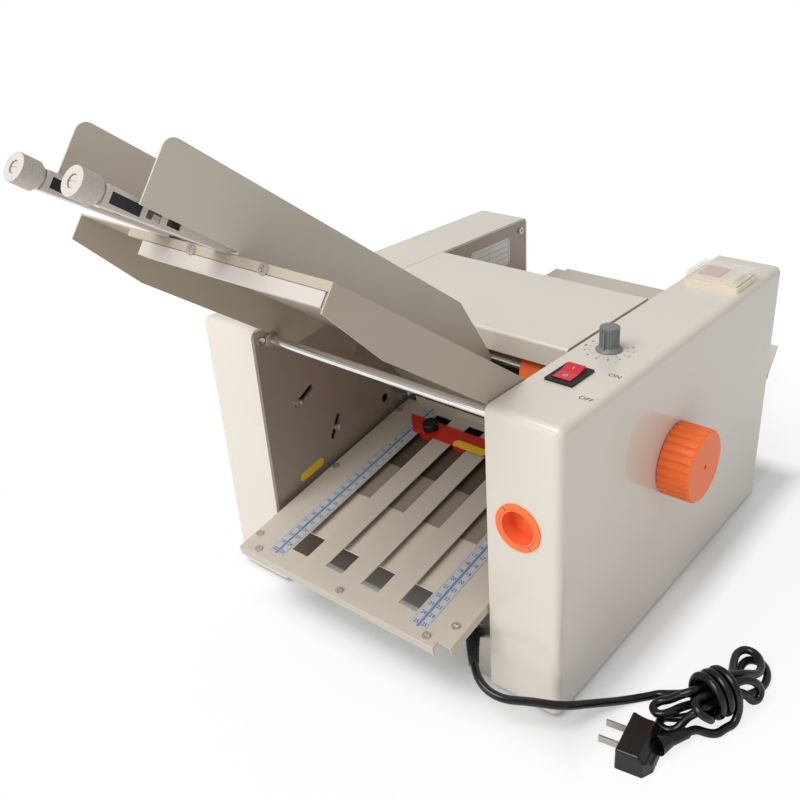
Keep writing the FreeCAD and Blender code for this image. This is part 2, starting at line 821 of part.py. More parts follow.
def arm():
    """Slotted arm in front of the table with its strap on the guide's foot, for the control side."""
    x0, x1 = arm_x - arm_width / 2, arm_x + arm_width / 2
    t0, t1 = -arm_root - arm_length, -arm_root
    body = arm_profile(x0, x1, 0).cut(arm_profile(x0 + arm_wall, x1 - arm_wall, arm_wall))
    for first, last in window_shares:
        low = -window_low + (arm_bottom - arm_root_bottom) * (first + last) / 2
        body = body.cut(box(x0 - overrun, x1 + overrun, t0 + first * arm_length, t0 + last * arm_length,
                            low, window_high))
    body = body.cut(rod(Vector(arm_x, t0 - overrun, 0), Y_AXIS, spindle_r + run_gap, 2 * overrun))
    strap_low = slide_gap + thin_sheet
    strap = box(x0, x1, t1, strap_length, strap_low, strap_low + sheet)
    return body.fuse([strap, arm_block()]).removeSplitter()


def arm_profile(x0, x1, inset):
    """Side profile of the arm, deeper at the knob than at the table, drawn in by an inset."""
    t0, t1 = -arm_root - arm_length + inset, -arm_root - inset
    return prism([Vector(x0, t0, inset - arm_bottom), Vector(x0, t0, arm_top - inset),
                  Vector(x0, t1, arm_top - inset), Vector(x0, t1, inset - arm_root_bottom)],
                 Vector(x1 - x0, 0, 0))


def arm_block():
    """Threaded block inside the arm, sunk a little into its floor and roof."""
    x0, x1 = arm_x - arm_width / 2 + arm_wall, arm_x + arm_width / 2 - arm_wall
    t0 = -arm_root - arm_length + arm_wall
    reach = box(x0, x1, t0 - arm_wall, t0 + block_length, -arm_bottom, arm_top)
    block = arm_profile(x0, x1, arm_wall / 2).common(reach)
    return block.cut(rod(Vector(arm_x, t0 - arm_wall, 0), Y_AXIS, spindle_r + run_gap,
                         arm_wall + block_length + overrun))


def guide_knob():
    """White fluted knob with a dished face."""
    t1 = -arm_root - arm_length - slide_gap
    t0 = t1 - knob_collar - knob_length
    knob = rod(Vector(arm_x, t0, 0), Y_AXIS, knob_r, knob_length)
    knob = knob.fuse(rod(Vector(arm_x, t0 + knob_length, 0), Y_AXIS, knob_collar_r, knob_collar))
    knob = knob.cut(rod(Vector(arm_x, t0 - overrun, 0), Y_AXIS, knob_recess_r, overrun + knob_recess))
    cutters = []
    for i in range(knob_flutes):
        a = 2 * math.pi * i / knob_flutes
        centre = Vector(arm_x + knob_r * math.cos(a), t0 - overrun, knob_r * math.sin(a))
        cutters.append(rod(centre, Y_AXIS, flute_depth, knob_length + overrun))
    return knob.cut(cutters).fuse(guide_spindle()).removeSplitter()


def guide_spindle():
    """Steel spindle through the knob into the block, with its head in the dished face."""
    t0 = -arm_root - arm_length - slide_gap - knob_collar - knob_length + knob_recess
    head = rod(Vector(arm_x, t0, 0), Y_AXIS * -1, screw_head_r, screw_head_h / 2)
    groove = box(arm_x - screw_head_r, arm_x + screw_head_r, t0 - screw_head_h, t0 - screw_slot_depth / 2,
                 -screw_slot_width / 2, screw_slot_width / 2)
    shank = rod(Vector(arm_x, t0, 0), Y_AXIS, spindle_r, knob_length + knob_collar + block_length / 2)
    return head.fuse(shank).cut(groove).removeSplitter()


def make_guides():
    parts = (("fin", fin()), ("arm", arm()), ("guide_knob", guide_knob()))
    for name, shape in parts:
        add("right_" + name, placed(shape, table_frame))
        add("left_" + name, placed(mirrored(shape), table_frame))


def slot_xs():
    return [tray_middle + k * slot_pitch for k in (-1.5, -0.5, 0.5, 1.5)]


def round_slot(x, width, s0, s1, h0, h1):
    return box(x - width / 2, x + width / 2, s0, s1, h0, h1)


def tray_top(front):
    """Slotted top plate with its bent front lip and side flanges."""
    left, right = tray_middle - tray_half, tray_middle + tray_half
    plate = box(left, right, front, tray_back, -thin_sheet, 0)
    lip = box(left, tray_notch_x, front, front + thin_sheet, -tray_lip, 0)
    sides = [box(x, x + thin_sheet, front + tray_notch, tray_back, -tray_flange, 0)
             for x in (left, right - thin_sheet)]
    inner_lip = box(left + tray_lip_inset, right - tray_lip_inset, tray_back - thin_sheet, tray_back, 0,
                    tray_inner_lip)
    plate = plate.fuse([lip, inner_lip] + sides)
    plate = plate.cut(box(tray_notch_x, right + overrun, front - overrun, front + tray_notch,
                          -tray_lip - overrun, overrun))
    plate = plate.cut([round_slot(x, slot_width, slot_front, slot_back, -overrun, overrun)
                       for x in slot_xs()])
    return round_edges(plate.removeSplitter(), thin_sheet * 0.9,
                       lambda p, e: abs(p.z) < seat_gap and abs(p.y - front) < seat_gap)


def tray_lower():
    """Plate below the paper channel with a spacer strip along each side."""
    left, right = tray_middle - tray_half + 2 * thin_sheet, tray_middle + tray_half - 2 * thin_sheet
    top = -thin_sheet - channel
    plate = box(left, right, lower_front, lower_back, top - thin_sheet, top)
    strips = [box(x, x + spacer_width, lower_front, lower_back, top, -thin_sheet)
              for x in (left, right - spacer_width)]
    return plate.fuse(strips).removeSplitter()


def stop_bar():
    """Flat bar across the slots, its fingers in the channel, and its nut plates under the slots."""
    s0, s1 = stop_distance, stop_distance + stop_width
    low = stop_lift
    m = tray_middle
    bar = prism([Vector(m - stop_half + stop_point, s0, low), Vector(m + stop_half - stop_point, s0, low),
                 Vector(m + stop_half, s1, low), Vector(m - stop_half, s1, low)], Vector(0, 0, stop_thick))
    fingers = [box(x - finger_width / 2, x + finger_width / 2, s0, s0 + finger_thick, -finger_depth, low)
               for x in slot_xs()]
    under = -thin_sheet - slide_gap
    nuts = [box(x - nut_half, x + nut_half, stop_knob_distance - nut_back, stop_knob_distance + nut_back,
                under - stop_thick, under)
            for x in knob_xs()]
    holes = [rod(Vector(x, stop_knob_distance, -2 * overrun), Z_AXIS, stop_bolt_r + run_gap, 4 * overrun)
             for x in knob_xs()]
    return group([piece.cut(holes) for piece in [bar.fuse(fingers)] + nuts])


def knob_xs():
    return slot_xs()[0], slot_xs()[3]


def stop_knob(x):
    """Thumb knob moulded on its bolt."""
    low = stop_lift + stop_thick + slide_gap
    knob = rod(Vector(x, stop_knob_distance, low), Z_AXIS, stop_knob_r, stop_knob_h)
    knob = knob.makeFillet(stop_knob_r / 4, [e for e in knob.Edges if e.CenterOfMass.z > low + stop_knob_h / 2
                                             and e.Length > stop_knob_r * 3
                                             and abs(e.Vertexes[0].Point.z - low) > seat_gap])
    end = -finger_depth + slide_gap
    bolt = rod(Vector(x, stop_knob_distance, end), Z_AXIS, stop_bolt_r, low - end)
    return knob.fuse(bolt).removeSplitter()


def tray_screw_places():
    return [(tray_middle + sign * (tray_half - inset), s) for sign, inset, s in tray_screws]


def make_trays():
    holes = [rod(Vector(x, s, -overrun), Z_AXIS, screw_r, 2 * overrun) for x, s in tray_screw_places()]
    add("front_tray_top", placed(tray_top(tray_front).cut(holes), tray_frame))
    add("rear_tray_top", placed(tray_top(rear_front), rear_frame))
    collect("tray_lower_plates", [placed(tray_lower(), frame) for frame in (tray_frame, rear_frame)])
    rulers = [box(tray_middle + sign * ruler_x - ruler_width / 2,
                  tray_middle + sign * ruler_x + ruler_width / 2,
                  ruler_front, ruler_back, 0, ruler_thick) for sign in (-1, 1)]
    add("tray_rulers", placed(group(rulers), tray_frame))
    collect("cross_screws", [placed(pan_screw(Vector(x, s, 0), Z_AXIS, thin_sheet), tray_frame)
                             for x, s in tray_screw_places()])
    left_x, right_x = knob_xs()
    add("paper_stop", placed(stop_bar(), tray_frame))
    add("stop_knob_left", placed(stop_knob(left_x), tray_frame))
    add("stop_knob_right", placed(stop_knob(right_x), tray_frame))
    shift = Vector(0, rear_stop_shift, 0)
    for name, shape in (("rear_stop", stop_bar()), ("rear_stop_knob_left", stop_knob(left_x)),
                        ("rear_stop_knob_right", stop_knob(right_x))):
        moved = shape.copy()
        moved.translate(shift)
        add(name, placed(moved, rear_frame))
    collect("frame_brackets", tray_shelves())


def tray_shelves():
    """Small angles on the frame plates that carry both trays at their side flanges."""
    shelves = []
    for frame, turned in ((tray_frame, False), (rear_frame, True)):
        for share in shelf_front_share:
            s = tray_back * share
            for sign in (-1, 1):
                across = -sign if turned else sign
                edge = tray_middle + across * tray_half
                inner, outer = sorted((edge - across * shelf_length / 2, across * wall_face))
                shelf = box(inner, outer, s, s + tray_shelf, -tray_flange - sheet, -tray_flange)
                shelves.append(placed(shelf, frame))
    return shelves


def roller(axis, right_end, left_end, wheels):
    """Fold roller: covered body on a shaft, with the gears and pulleys that are keyed to it."""
    body = rod_x(-roller_half, roller_half, axis, roller_radius - seat_gap)
    return body.fuse([rod_x(left_end, right_end, axis, shaft_r)] + wheels).removeSplitter()


def make_rollers():
    short = gear_x + gear_width
    far_left = -wall_back - bush_flange
    pulley_left = far_left - gear_gap - pulley_width
    up_ab = 90 + nip_angle_ab
    up_bc = 90 + tray_slope
    down_cd = -90 - nip_angle_cd
    phase_c = up_bc / 360 * gear_teeth
    phase_b = mesh_phase(phase_c, gear_teeth, up_bc, gear_teeth)
    phase_a = mesh_phase(phase_b, gear_teeth, up_ab, gear_teeth)
    phase_d = mesh_phase(phase_c, gear_teeth, down_cd, gear_teeth)
    places = (("a", roller_a, phase_a), ("b", roller_b, phase_b),
              ("c", roller_c, phase_c), ("d", roller_d, phase_d))
    wheels = {name: [spur_gear(axis, gear_x, gear_width, gear_teeth, shaft_r, phase)]
              for name, axis, phase in places}
    wheels["a"].append(flat_pulley(roller_a, pulley_left, roller_a_pulley_r, shaft_r))
    wheels["c"].append(spur_gear(roller_c, drive_gear_x, gear_width, drive_teeth, shaft_r, 0))
    wheels["c"].append(flat_pulley(roller_c, pulley_x, roller_pulley_r, shaft_r))
    add("fold_roller_a", roller(roller_a, short, pulley_left, wheels["a"]))
    add("fold_roller_b", roller(roller_b, short, far_left, wheels["b"]))
    add("fold_roller_c", roller(roller_c, pulley_x + pulley_width, far_left, wheels["c"]))
    add("fold_roller_d", roller(roller_d, short, far_left, wheels["d"]))


def mesh_phase(phase, teeth, heading, other_teeth):
    """Phase that puts the next gear, which lies at a heading, into mesh with this one."""
    at_mesh = heading / 360 * teeth - phase
    return (heading + 180) / 360 * other_teeth + at_mesh + 0.5


def bush(x0, x1, axis, bore, flange_x):
    ring = tube_x(x0, x1, axis, bush_r, bore)
    collar = tube_x(flange_x, flange_x + bush_flange, axis, bush_flange_r, bore)
    return ring.fuse(collar).removeSplitter()


def make_bearings():
    bore = shaft_r + run_gap
    bushes = []
    for axis in (roller_a, roller_b, roller_c, roller_d, feed_axis):
        right = bush(wall_face, wall_back, axis, bore, wall_back)
        bushes.append(right)
        bushes.append(mirrored(right))
    bushes.append(bush(bearing_x, bearing_x + plate_thick, hand_axis, bore, bearing_x + plate_thick))
    bushes.append(bush(bearing_x, bearing_x + plate_thick, roller_c, bore, bearing_x + plate_thick))
    bushes.append(bush(outer_x - sheet, outer_x, hand_axis, bore, outer_x - sheet - bush_flange))
    add("shaft_bushes", group(bushes))
    low_y = min(y for y, z in pillar_places) - bush_flange_r
    high_y = max(y for y, z in pillar_places) + bush_flange_r
    low_z = min(z for y, z in pillar_places) - bush_flange_r
    high_z = hand_axis.z + 2 * bush_flange_r
    plate = box(bearing_x, bearing_x + plate_thick, low_y, high_y, low_z, high_z)
    plate = plate.cut([rod_x(bearing_x - overrun, bearing_x + plate_thick + overrun, axis, bush_r)
                       for axis in (hand_axis, roller_c)])
    add("bearing_plate", plate)
    collect("tie_rods", [rod_x(wall_back, bearing_x, Vector(0, y, z), pillar_r) for y, z in pillar_places])


def make_hand_drive():
    start = drive_gear_x
    end = outer_x + hand_knob_gap + hand_knob_length - hand_hub_r / 2
    gear = spur_gear(hand_axis, drive_gear_x, gear_width, hand_teeth, shaft_r,
                     mesh_phase(0, drive_teeth, 90 + hand_angle, hand_teeth))
    add("hand_shaft", rod_x(start, end, hand_axis, shaft_r).fuse(gear).removeSplitter())
    x0, x1 = outer_x + hand_knob_gap, outer_x + hand_knob_gap + hand_knob_length
    knob = rod_x(x0, x1, hand_axis, hand_knob_r)
    knob = knob.makeChamfer(hand_flute_depth * 1.5,
                            [e for e in knob.Edges if abs(e.CenterOfMass.x - x1) < seat_gap])
    cutters = []
    for i in range(hand_knob_flutes):
        a = 2 * math.pi * i / hand_knob_flutes
        centre = Vector(0, hand_axis.y + hand_knob_r * math.cos(a), hand_axis.z + hand_knob_r * math.sin(a))
        cutters.append(rod_x(x0 - overrun, x1 + overrun, centre, hand_flute_depth))
    knob = knob.cut(cutters)
    knob = knob.cut(rod_x(x0 - overrun, end, hand_axis, shaft_r))
    knob = knob.cut(rod_x(x0, x1 + overrun, hand_axis, hand_hole_r))
    hollow = tube_x(x0 - overrun, x1 - hand_hub_r / 2, hand_axis, hand_knob_r - 3 * sheet, hand_hub_r)
    knob = knob.cut(hollow)
    hole = rod(Vector(x0 + hand_hub_r, hand_axis.y, hand_axis.z), polar(set_screw_angle, 1), set_screw_r,
               hand_knob_r + overrun)
    add("hand_knob", knob.cut(hole.cut(rod_x(x0 - overrun, x1 + overrun, hand_axis, hand_hub_r))))


def make_feed():
    left = -wall_back - bush_flange - gear_gap - pulley_width
    shaft = rod_x(left, wall_back + bush_flange, feed_axis, shaft_r)
    add("feed_shaft", shaft.fuse(flat_pulley(feed_axis, left, feed_pulley_r, shaft_r)).removeSplitter())
    add("feed_tyres", group([tube_x(x0, x1, feed_axis, feed_r, shaft_r) for x0, x1 in tyre_places]))
    collect("drive_belts", [belt(left, feed_axis, feed_pulley_r, roller_a, roller_a_pulley_r)])
    t0 = feed_distance - separator_length / 2
    block = box(-separator_width / 2, separator_width / 2, t0, t0 + separator_length,
                -separator_thick - pad_thick, -pad_thick)
    pad = box(-pad_width / 2, pad_width / 2, t0, t0 + separator_length, -pad_thick, 0)
    bar_w, bar_h = separator_bar
    bar = box(-wall_face, wall_face, feed_distance - bar_w / 2, feed_distance + bar_w / 2,
              -separator_thick - pad_thick - bar_h, -separator_thick - pad_thick)
    add("separator_block", placed(block, table_frame))
    add("separator_pad", placed(pad, table_frame))
    collect("tie_rods", [placed(bar, table_frame)])
    make_chute(t0 + separator_length)


def make_chute(t_start):
    """Bent sheet that leads the paper from the separator down to the first pair of rollers."""
    start = table_frame.multVec(Vector(0, t_start + thin_sheet, -pad_thick))
    end = nip_ab - polar(nip_angle_ab, roller_radius) - Vector(0, 0, roller_radius / 2)
    middle = Vector(0, (start.y + end.y) / 2 - feed_clear, (start.z + end.z) / 2)
    thick = polar(chute_slope - 90, -thin_sheet)
    points = [start, middle, end, end + thick, middle + thick, start + thick]
    chute = prism([Vector(-wall_face, p.y, p.z) for p in points], Vector(2 * wall_face, 0, 0))
    add("paper_chute", chute)


def make_motor():
    axis = Vector(0, motor_y, motor_z)
    face = wall_face
    body = rod_x(face - motor_length, face, axis, motor_r)
    body = body.makeFillet(motor_r / 8, [e for e in body.Edges
                                         if abs(e.CenterOfMass.x - face + motor_length) < seat_gap])
    boss = rod_x(face, wall_back, axis, motor_boss_r)
    shaft = rod_x(face - overrun / 2, pulley_x + pulley_width, axis, spindle_r)
    bore = rod_x(face - overrun, wall_back + overrun, axis, spindle_r + run_gap)
    add("motor", body.fuse(boss).removeSplitter().cut(bore))
    pulley = flat_pulley(axis, pulley_x, motor_pulley_r, spindle_r)
    add("motor_shaft", shaft.fuse(pulley).removeSplitter())
    collect("drive_belts", [belt(pulley_x, axis, motor_pulley_r, roller_c, roller_pulley_r)])


def make_controls():
    x0, x1 = switch_x - switch_width / 2, switch_x + switch_width / 2
    y0, y1 = switch_y - switch_length / 2, switch_y + switch_length / 2
    f = switch_frame
    frame = box(x0, x1, y0, y1, housing_top, housing_top + switch_lip)
    body = box(x0 + f + run_gap, x1 - f - run_gap, y0 + f + run_gap, y1 - f - run_gap,
               housing_top - switch_depth, housing_top)
    pocket = box(x0 + f + sheet, x1 - f - sheet, y0 + f + sheet, y1 - f - sheet,
                 housing_top - switch_depth / 2, housing_top + overrun)
    axis = Vector(0, switch_y, housing_top)
    pin_left, pin_right = x0 + f + sheet - rocker_pin_length, x1 - f - sheet + rocker_pin_length
    pin_holes = rod_x(pin_left - seat_gap, pin_right + seat_gap, axis, rocker_pin_r + run_gap)
    add("switch_frame", frame.fuse(body).removeSplitter().cut([pocket, pin_holes]))
    half = switch_length / 2 - f - sheet - rocker_gap
    rocker = prism([Vector(x0 + f + sheet + rocker_gap, y, z) for y, z in (
        (-half, rocker_end_h), (0, rocker_middle_h), (half, rocker_end_h),
        (half - 2 * sheet, -rocker_depth), (2 * sheet - half, -rocker_depth))],
        Vector(x1 - x0 - 2 * (f + sheet + rocker_gap), 0, 0))
    pivot = FreeCAD.Placement(axis, FreeCAD.Rotation(X_AXIS, rocker_tilt))
    pins = rod_x(pin_left, pin_right, axis, rocker_pin_r)
    add("switch_rocker", placed(rocker, pivot).fuse(pins).removeSplitter())
    make_dial()
    make_counter()
    make_port()
    make_board()


def make_dial():
    z0 = housing_top + dial_gap
    centre = Vector(dial_x, dial_y, z0)
    skirt = Part.makeCone(dial_skirt_r, dial_r, dial_skirt, centre, Z_AXIS)
    grip = rod(centre, Z_AXIS, dial_r, dial_height)
    grip = grip.makeFillet(sheet / 2, [e for e in grip.Edges
                                       if abs(e.CenterOfMass.z - z0 - dial_height) < seat_gap])
    cutters = []
    for i in range(dial_ribs):
        a = 2 * math.pi * i / dial_ribs
        foot = centre + Vector(dial_r * math.cos(a), dial_r * math.sin(a), dial_skirt)
        cutters.append(rod(foot, Z_AXIS, dial_rib_depth, dial_height))
    knob = grip.cut(cutters).fuse(skirt)
    pointer = box(dial_x - sheet / 2, dial_x + sheet / 2, dial_y - dial_r - sheet, dial_y - dial_r + sheet,
                  z0 + dial_skirt / 2, z0 + dial_height - sheet)
    knob = knob.fuse(pointer).removeSplitter()
    knob = knob.cut(rod(centre - Z_AXIS * overrun, Z_AXIS, pot_spindle_r, dial_hole_depth + overrun))
    knob = knob.cut(rod(centre - Z_AXIS * overrun, Z_AXIS, pot_thread_r + 2 * slide_gap, overrun + sheet))
    under = housing_top - sheet
    spindle = rod(Vector(dial_x, dial_y, under - pot_depth / 3), Z_AXIS, pot_spindle_r,
                  pot_depth / 3 + sheet + dial_gap + dial_hole_depth)
    add("speed_knob", knob.fuse(spindle).removeSplitter())
    pot = rod(Vector(dial_x, dial_y, under - pot_depth), Z_AXIS, pot_r, pot_depth)
    thread = rod(Vector(dial_x, dial_y, under), Z_AXIS, pot_thread_r, sheet + dial_gap / 2)
    bore = rod(Vector(dial_x, dial_y, under - pot_depth / 2), Z_AXIS, pot_spindle_r + run_gap, pot_depth)
    add("speed_control", pot.fuse(thread).removeSplitter().cut(bore))


def make_counter():
    top = housing_top
    base = box(counter_left, counter_right, counter_front, counter_back, top, top + counter_base_h)
    base = round_edges(base, counter_edge_r, lambda p, e: abs(p.z - top - counter_base_h / 2) < seat_gap)
    display = box(counter_left + display_inset, counter_right - display_inset, counter_front + display_inset,
                  counter_back - display_inset, top + counter_base_h, top + counter_base_h + display_h)
    add("counter_base", base.fuse(display).removeSplitter())
    i = counter_cover_inset
    low, high = top + counter_base_h, top + counter_base_h + counter_cover_h
    outer = box(counter_left + i, counter_right - i, counter_front + i, counter_back - i, low, high)
    outer = round_edges(outer, counter_edge_r - i / 2, lambda p, e: abs(p.z - (low + high) / 2) < seat_gap)
    w = i + counter_wall
    inner = box(counter_left + w, counter_right - w, counter_front + w, counter_back - w, low - overrun,
                high - counter_wall)
    add("counter_cover", outer.cut(inner))


def make_port():
    centre = Vector(port_x, 0, port_z)

    def disc(y0, y1, r):
        return rod(Vector(port_x, y0, port_z), Y_AXIS, r, y1 - y0)

    ring = disc(-port_ring_thick, 0, port_ring_r).fuse(disc(0, port_cup_depth / 2, port_hole_r - run_gap))
    ring = ring.cut(disc(-overrun, port_cup_depth, port_cup_r + slide_gap))
    add("port_ring", ring.removeSplitter())
    cup = disc(-port_ring_thick, port_cup_depth, port_cup_r)
    hollow = disc(-overrun, port_cup_depth - port_cup_wall, port_cup_r - port_cup_wall)
    cup = cup.cut(hollow)
    hub = disc(port_cup_depth - port_cup_wall - sheet, port_cup_depth - port_cup_wall, port_shaft_r + sheet)
    stem = disc(port_cup_depth, port_cup_depth + port_shaft_length, port_shaft_r)
    add("front_knob", cup.fuse([hub, stem]).removeSplitter())
    y1 = port_cup_depth + port_shaft_length * 0.7
    strap = box(wall_back, port_x + port_bracket_width / 2, y1, y1 + port_bridge,
                port_z - port_bracket_width / 2, port_z + port_bracket_width / 2)
    collect("frame_brackets", [strap.cut(disc(y1 - overrun, y1 + 2 * overrun, port_shaft_r + run_gap))])


def make_board():
    x0 = wall_back + board_spacer
    board = box(x0, x0 + board_thick, board_front, board_back, board_low, board_high)
    x1 = x0 + board_thick
    length = (board_back - board_front) / (len(board_part_heights) + 1)
    for i, height in enumerate(board_part_heights):
        y = board_front + board_inset + i * (length + board_inset)
        board = board.fuse(box(x1, x1 + height, y, y + length, board_low + 2 * board_inset,
                               board_high - 3 * board_inset))
    add("control_board", board.removeSplitter())
    posts = [rod_x(wall_back, x0, Vector(0, y, z), board_spacer_r)
             for y in (board_front + board_inset, board_back - board_inset)
             for z in (board_low + board_inset, board_high - board_inset)]
    collect("tie_rods", posts)


def make_delivery():
    points = [Vector(-delivery_half, y, z) for y, z in zip(delivery_y, delivery_z)]
    outline = points + [p - Vector(0, 0, sheet) for p in reversed(points)]
    tray = prism(outline, Vector(2 * delivery_half, 0, 0))
    sides = []
    for x in (-delivery_half, delivery_half - thin_sheet):
        y0, y1 = delivery_y[1], delivery_y[2]
        z0, z1 = delivery_z[1], delivery_z[2]
        sides.append(prism([Vector(x, y0, z0 - sheet), Vector(x, y1, z1 - sheet),
                            Vector(x, y1, z1 - delivery_side),
                            Vector(x, y0, z0 - delivery_side)], Vector(thin_sheet, 0, 0)))

    def under(y):
        share = (y - delivery_y[1]) / (delivery_y[2] - delivery_y[1])
        return delivery_z[1] + share * (delivery_z[2] - delivery_z[1]) - sheet

    inner = delivery_half - 2 * thin_sheet
    legs = []
    for y, foot_z in ((stand_y, 0), (hook_y, floor_z)):
        leg = prism([Vector(-inner, y, foot_z), Vector(-inner, y + stand_foot, foot_z),
                     Vector(-inner, y + stand_foot, foot_z + sheet),
                     Vector(-inner, y + sheet, foot_z + sheet),
                     Vector(-inner, y + sheet, under(y + sheet)), Vector(-inner, y, under(y))],
                    Vector(2 * inner, 0, 0))
        legs.append(leg)
    add("delivery_tray", tray.fuse(sides + legs).removeSplitter())


def make_latches():
    """Spring-loaded pins beside the front tray's inner end, sloping down a little to the back."""
    length = latch_spring_back - latch_front
    frame = FreeCAD.Placement(Vector(0, latch_front, latch_z), FreeCAD.Rotation(X_AXIS, -latch_slope))
    x = wall_face - latch_x_gap
    block_top = latch_head_r * 2
    springs = []
    for sign in (-1, 1):
        shank = rod(Vector(x, 0, 0), Y_AXIS, latch_pin_r, length)
        head = rod(Vector(x, 0, 0), Y_AXIS, latch_head_r, latch_head)
        block = box(x - latch_head_r, wall_face, length, length + latch_block, -latch_head_r, block_top)
        block = block.cut(rod(Vector(x, length - overrun, 0), Y_AXIS, latch_pin_r, overrun))
        pin = shank.fuse([head, block]).removeSplitter()
        collect("frame_brackets", [side(placed(pin, frame), sign)])
        coil = coil_spring(Vector(x, latch_spring_front - latch_front, 0),
                           length - latch_spring_front + latch_front)
        springs.append(side(placed(coil, frame), sign))
    add("latch_springs", group(springs))


def coil_spring(start, length):
    """Compression spring along +Y as one tube on quarter-turn arcs."""
    steps = spring_turns * 4
    pitch = (length - 2 * spring_wire_r) / steps

    def at(k):
        a = k * math.pi / 2
        return start + Vector(spring_r * math.cos(a), spring_wire_r + k * pitch, spring_r * math.sin(a))

    edges = []
    for i in range(steps):
        edges.append(Part.Arc(at(i), at(i + 0.5), at(i + 1)).toShape())
    path = Part.Wire(edges)
    tangent = edges[0].tangentAt(edges[0].FirstParameter)
    profile = Part.Wire(Part.makeCircle(spring_wire_r, at(0), tangent))
    return path.makePipeShell([profile], True, False)


def arc_path(points):
    """Straight runs joined by tangent arcs, as large as the runs allow."""
    edges = []
    radii = []
    start = Vector(*points[0])
    for i in range(1, len(points) - 1):
        before, corner, after = (Vector(*p) for p in points[i - 1:i + 2])
        into, out = corner - before, after - corner
        shorter = min(into.Length, out.Length)
        turn = into.getAngle(out)
        into.normalize()
        out.normalize()
        set_back = 0.45 * shorter
        first, last = corner - into * set_back, corner + out * set_back
        radii.append(set_back / math.tan(turn / 2))
        middle_way = (out - into)
        middle_way.normalize()
        to_centre = radii[-1] / math.cos(turn / 2)
        middle = corner + middle_way * (to_centre - radii[-1])
        edges.append(Part.LineSegment(start, first).toShape())
        edges.append(Part.Arc(first, middle, last).toShape())
        start = last
    edges.append(Part.LineSegment(start, Vector(*points[-1])).toShape())
    return Part.Wire(edges), radii


def tube_along(points, diameter):
    """Round tube along a route, with its volume set against its section times its length."""
    path, radii = arc_path(points)
    direction = Vector(*points[1]) - Vector(*points[0])
    direction.normalize()
    profile = Part.Wire(Part.makeCircle(diameter / 2, Vector(*points[0]), direction))
    tube = path.makePipeShell([profile], True, False)
    expected = math.pi * (diameter / 2) ** 2 * path.Length
    print("cord lead: length %.1f, least radius %.1f, volume share %.4f, radii %s" % (
        path.Length, min(radii), tube.Volume / expected, [round(r) for r in radii]))
    return tube


def make_cord():
    start = Vector(*lead_route[0])
    heading = Vector(*lead_route[1]) - start
    heading.normalize()
    collar = rod(start, heading * -1, gland_r, gland_front)
    neck = rod(start, heading * -1, gland_neck_r, gland_length)
    add("cord_gland", collar.fuse(neck).removeSplitter())
    collect("frame_brackets", [cord_bracket(start, heading)])
    add("cord_lead", tube_along(lead_route, cord_d))
    make_hank(Vector(*lead_route[-1]))
    make_plug()


def cord_bracket(start, heading):
    """Small upright angle at the front right; the gland passes through it at a slant."""
    front = sheet + plate_gap
    back = front + sheet
    plate = box(bracket_left, gap_half - slide_gap, front, back, foot_height, bracket_top)
    flange = box(wall_face - sheet, wall_face, back, back + bracket_flange, foot_height, bracket_top)
    passage = rod(start, heading * -1, gland_neck_r + run_gap, gland_length + overrun)
    seat = rod(start, heading * -1, gland_r + run_gap, gland_front)
    return plate.fuse(flange).removeSplitter().cut([passage, seat])


def make_hank(end):
    """Coiled cord: six strands with a loop between each two, bound by turns about the waist."""
    heading = Vector(*lead_route[-1]) - Vector(*lead_route[-2])
    frame = FreeCAD.Placement(Vector(*hank_place, 0), FreeCAD.Rotation(Z_AXIS, hank_heading))
    start = frame.inverse().multVec(end)
    way_in = frame.inverse().Rotation.multVec(Vector(heading.x, heading.y, 0))
    way_in.normalize()
    points = [start + way_in * cord_d] + [Vector(*p) for p in hank_way_in + hank_strands()]
    points += waist_points() + [Vector(*p) for p in way_to_plug]
    finish = Vector(*hank_end)
    way_out = X_AXIS * -1
    points.append(finish - way_out * cord_d)
    edges = [Part.LineSegment(start, points[0]).toShape()]
    edges += biarcs(points, way_in, way_out)
    edges.append(Part.LineSegment(points[-1], finish).toShape())
    profile = Part.Wire(Part.makeCircle(cord_d / 2, start, way_in))
    tube = Part.Wire(edges).makePipeShell([profile], True, False)
    length, gap, low = measured(edges)
    print("hank: length %.0f, least gap to itself %.2f (over %.1f), lowest %.2f, volume share %.4f" % (
        length, gap, least_gap, low - cord_d / 2, tube.Volume / (math.pi * (cord_d / 2) ** 2 * length)))
    add("cord_hank", placed(tube, frame))


def hank_strands():
    """The straight strands through the waist, with the loops that join them."""
    middle = strand_rest + turn_r
    rows = []
    for angle in strand_angles:
        a = math.radians(angle)
        rows.append((strand_ring_r * math.cos(a), middle + strand_ring_r * math.sin(a)))
    near, far = strand_straight
    route = []
    side = -1
    for k, (across, up) in enumerate(rows):
        if k:
            route.append((side * waist_mouth, across * mouth_spread, up))
        route += [(side * x, across, up) for x in (far, near)]
        side = -side
        route += [(side * x, across, up) for x in (near, far)]
        if k < len(loops):
            route.append((side * waist_mouth, across * mouth_spread, up))
            route += [(side * x, y, z) for x, y, z in loops[k]]
    return tuple(route) + way_to_turns


def waist_points():
    """Quarter points of the turns about the waist, from below, up the left side."""
    points = []
    for k in range(4 * waist_turns):
        a = math.radians(90 * (k + 1))
        points.append(Vector(first_turn_at + turn_pitch * (k + 1) / 4, -turn_r * math.cos(a),
                             strand_rest + turn_r - turn_r * math.sin(a)))
    return points


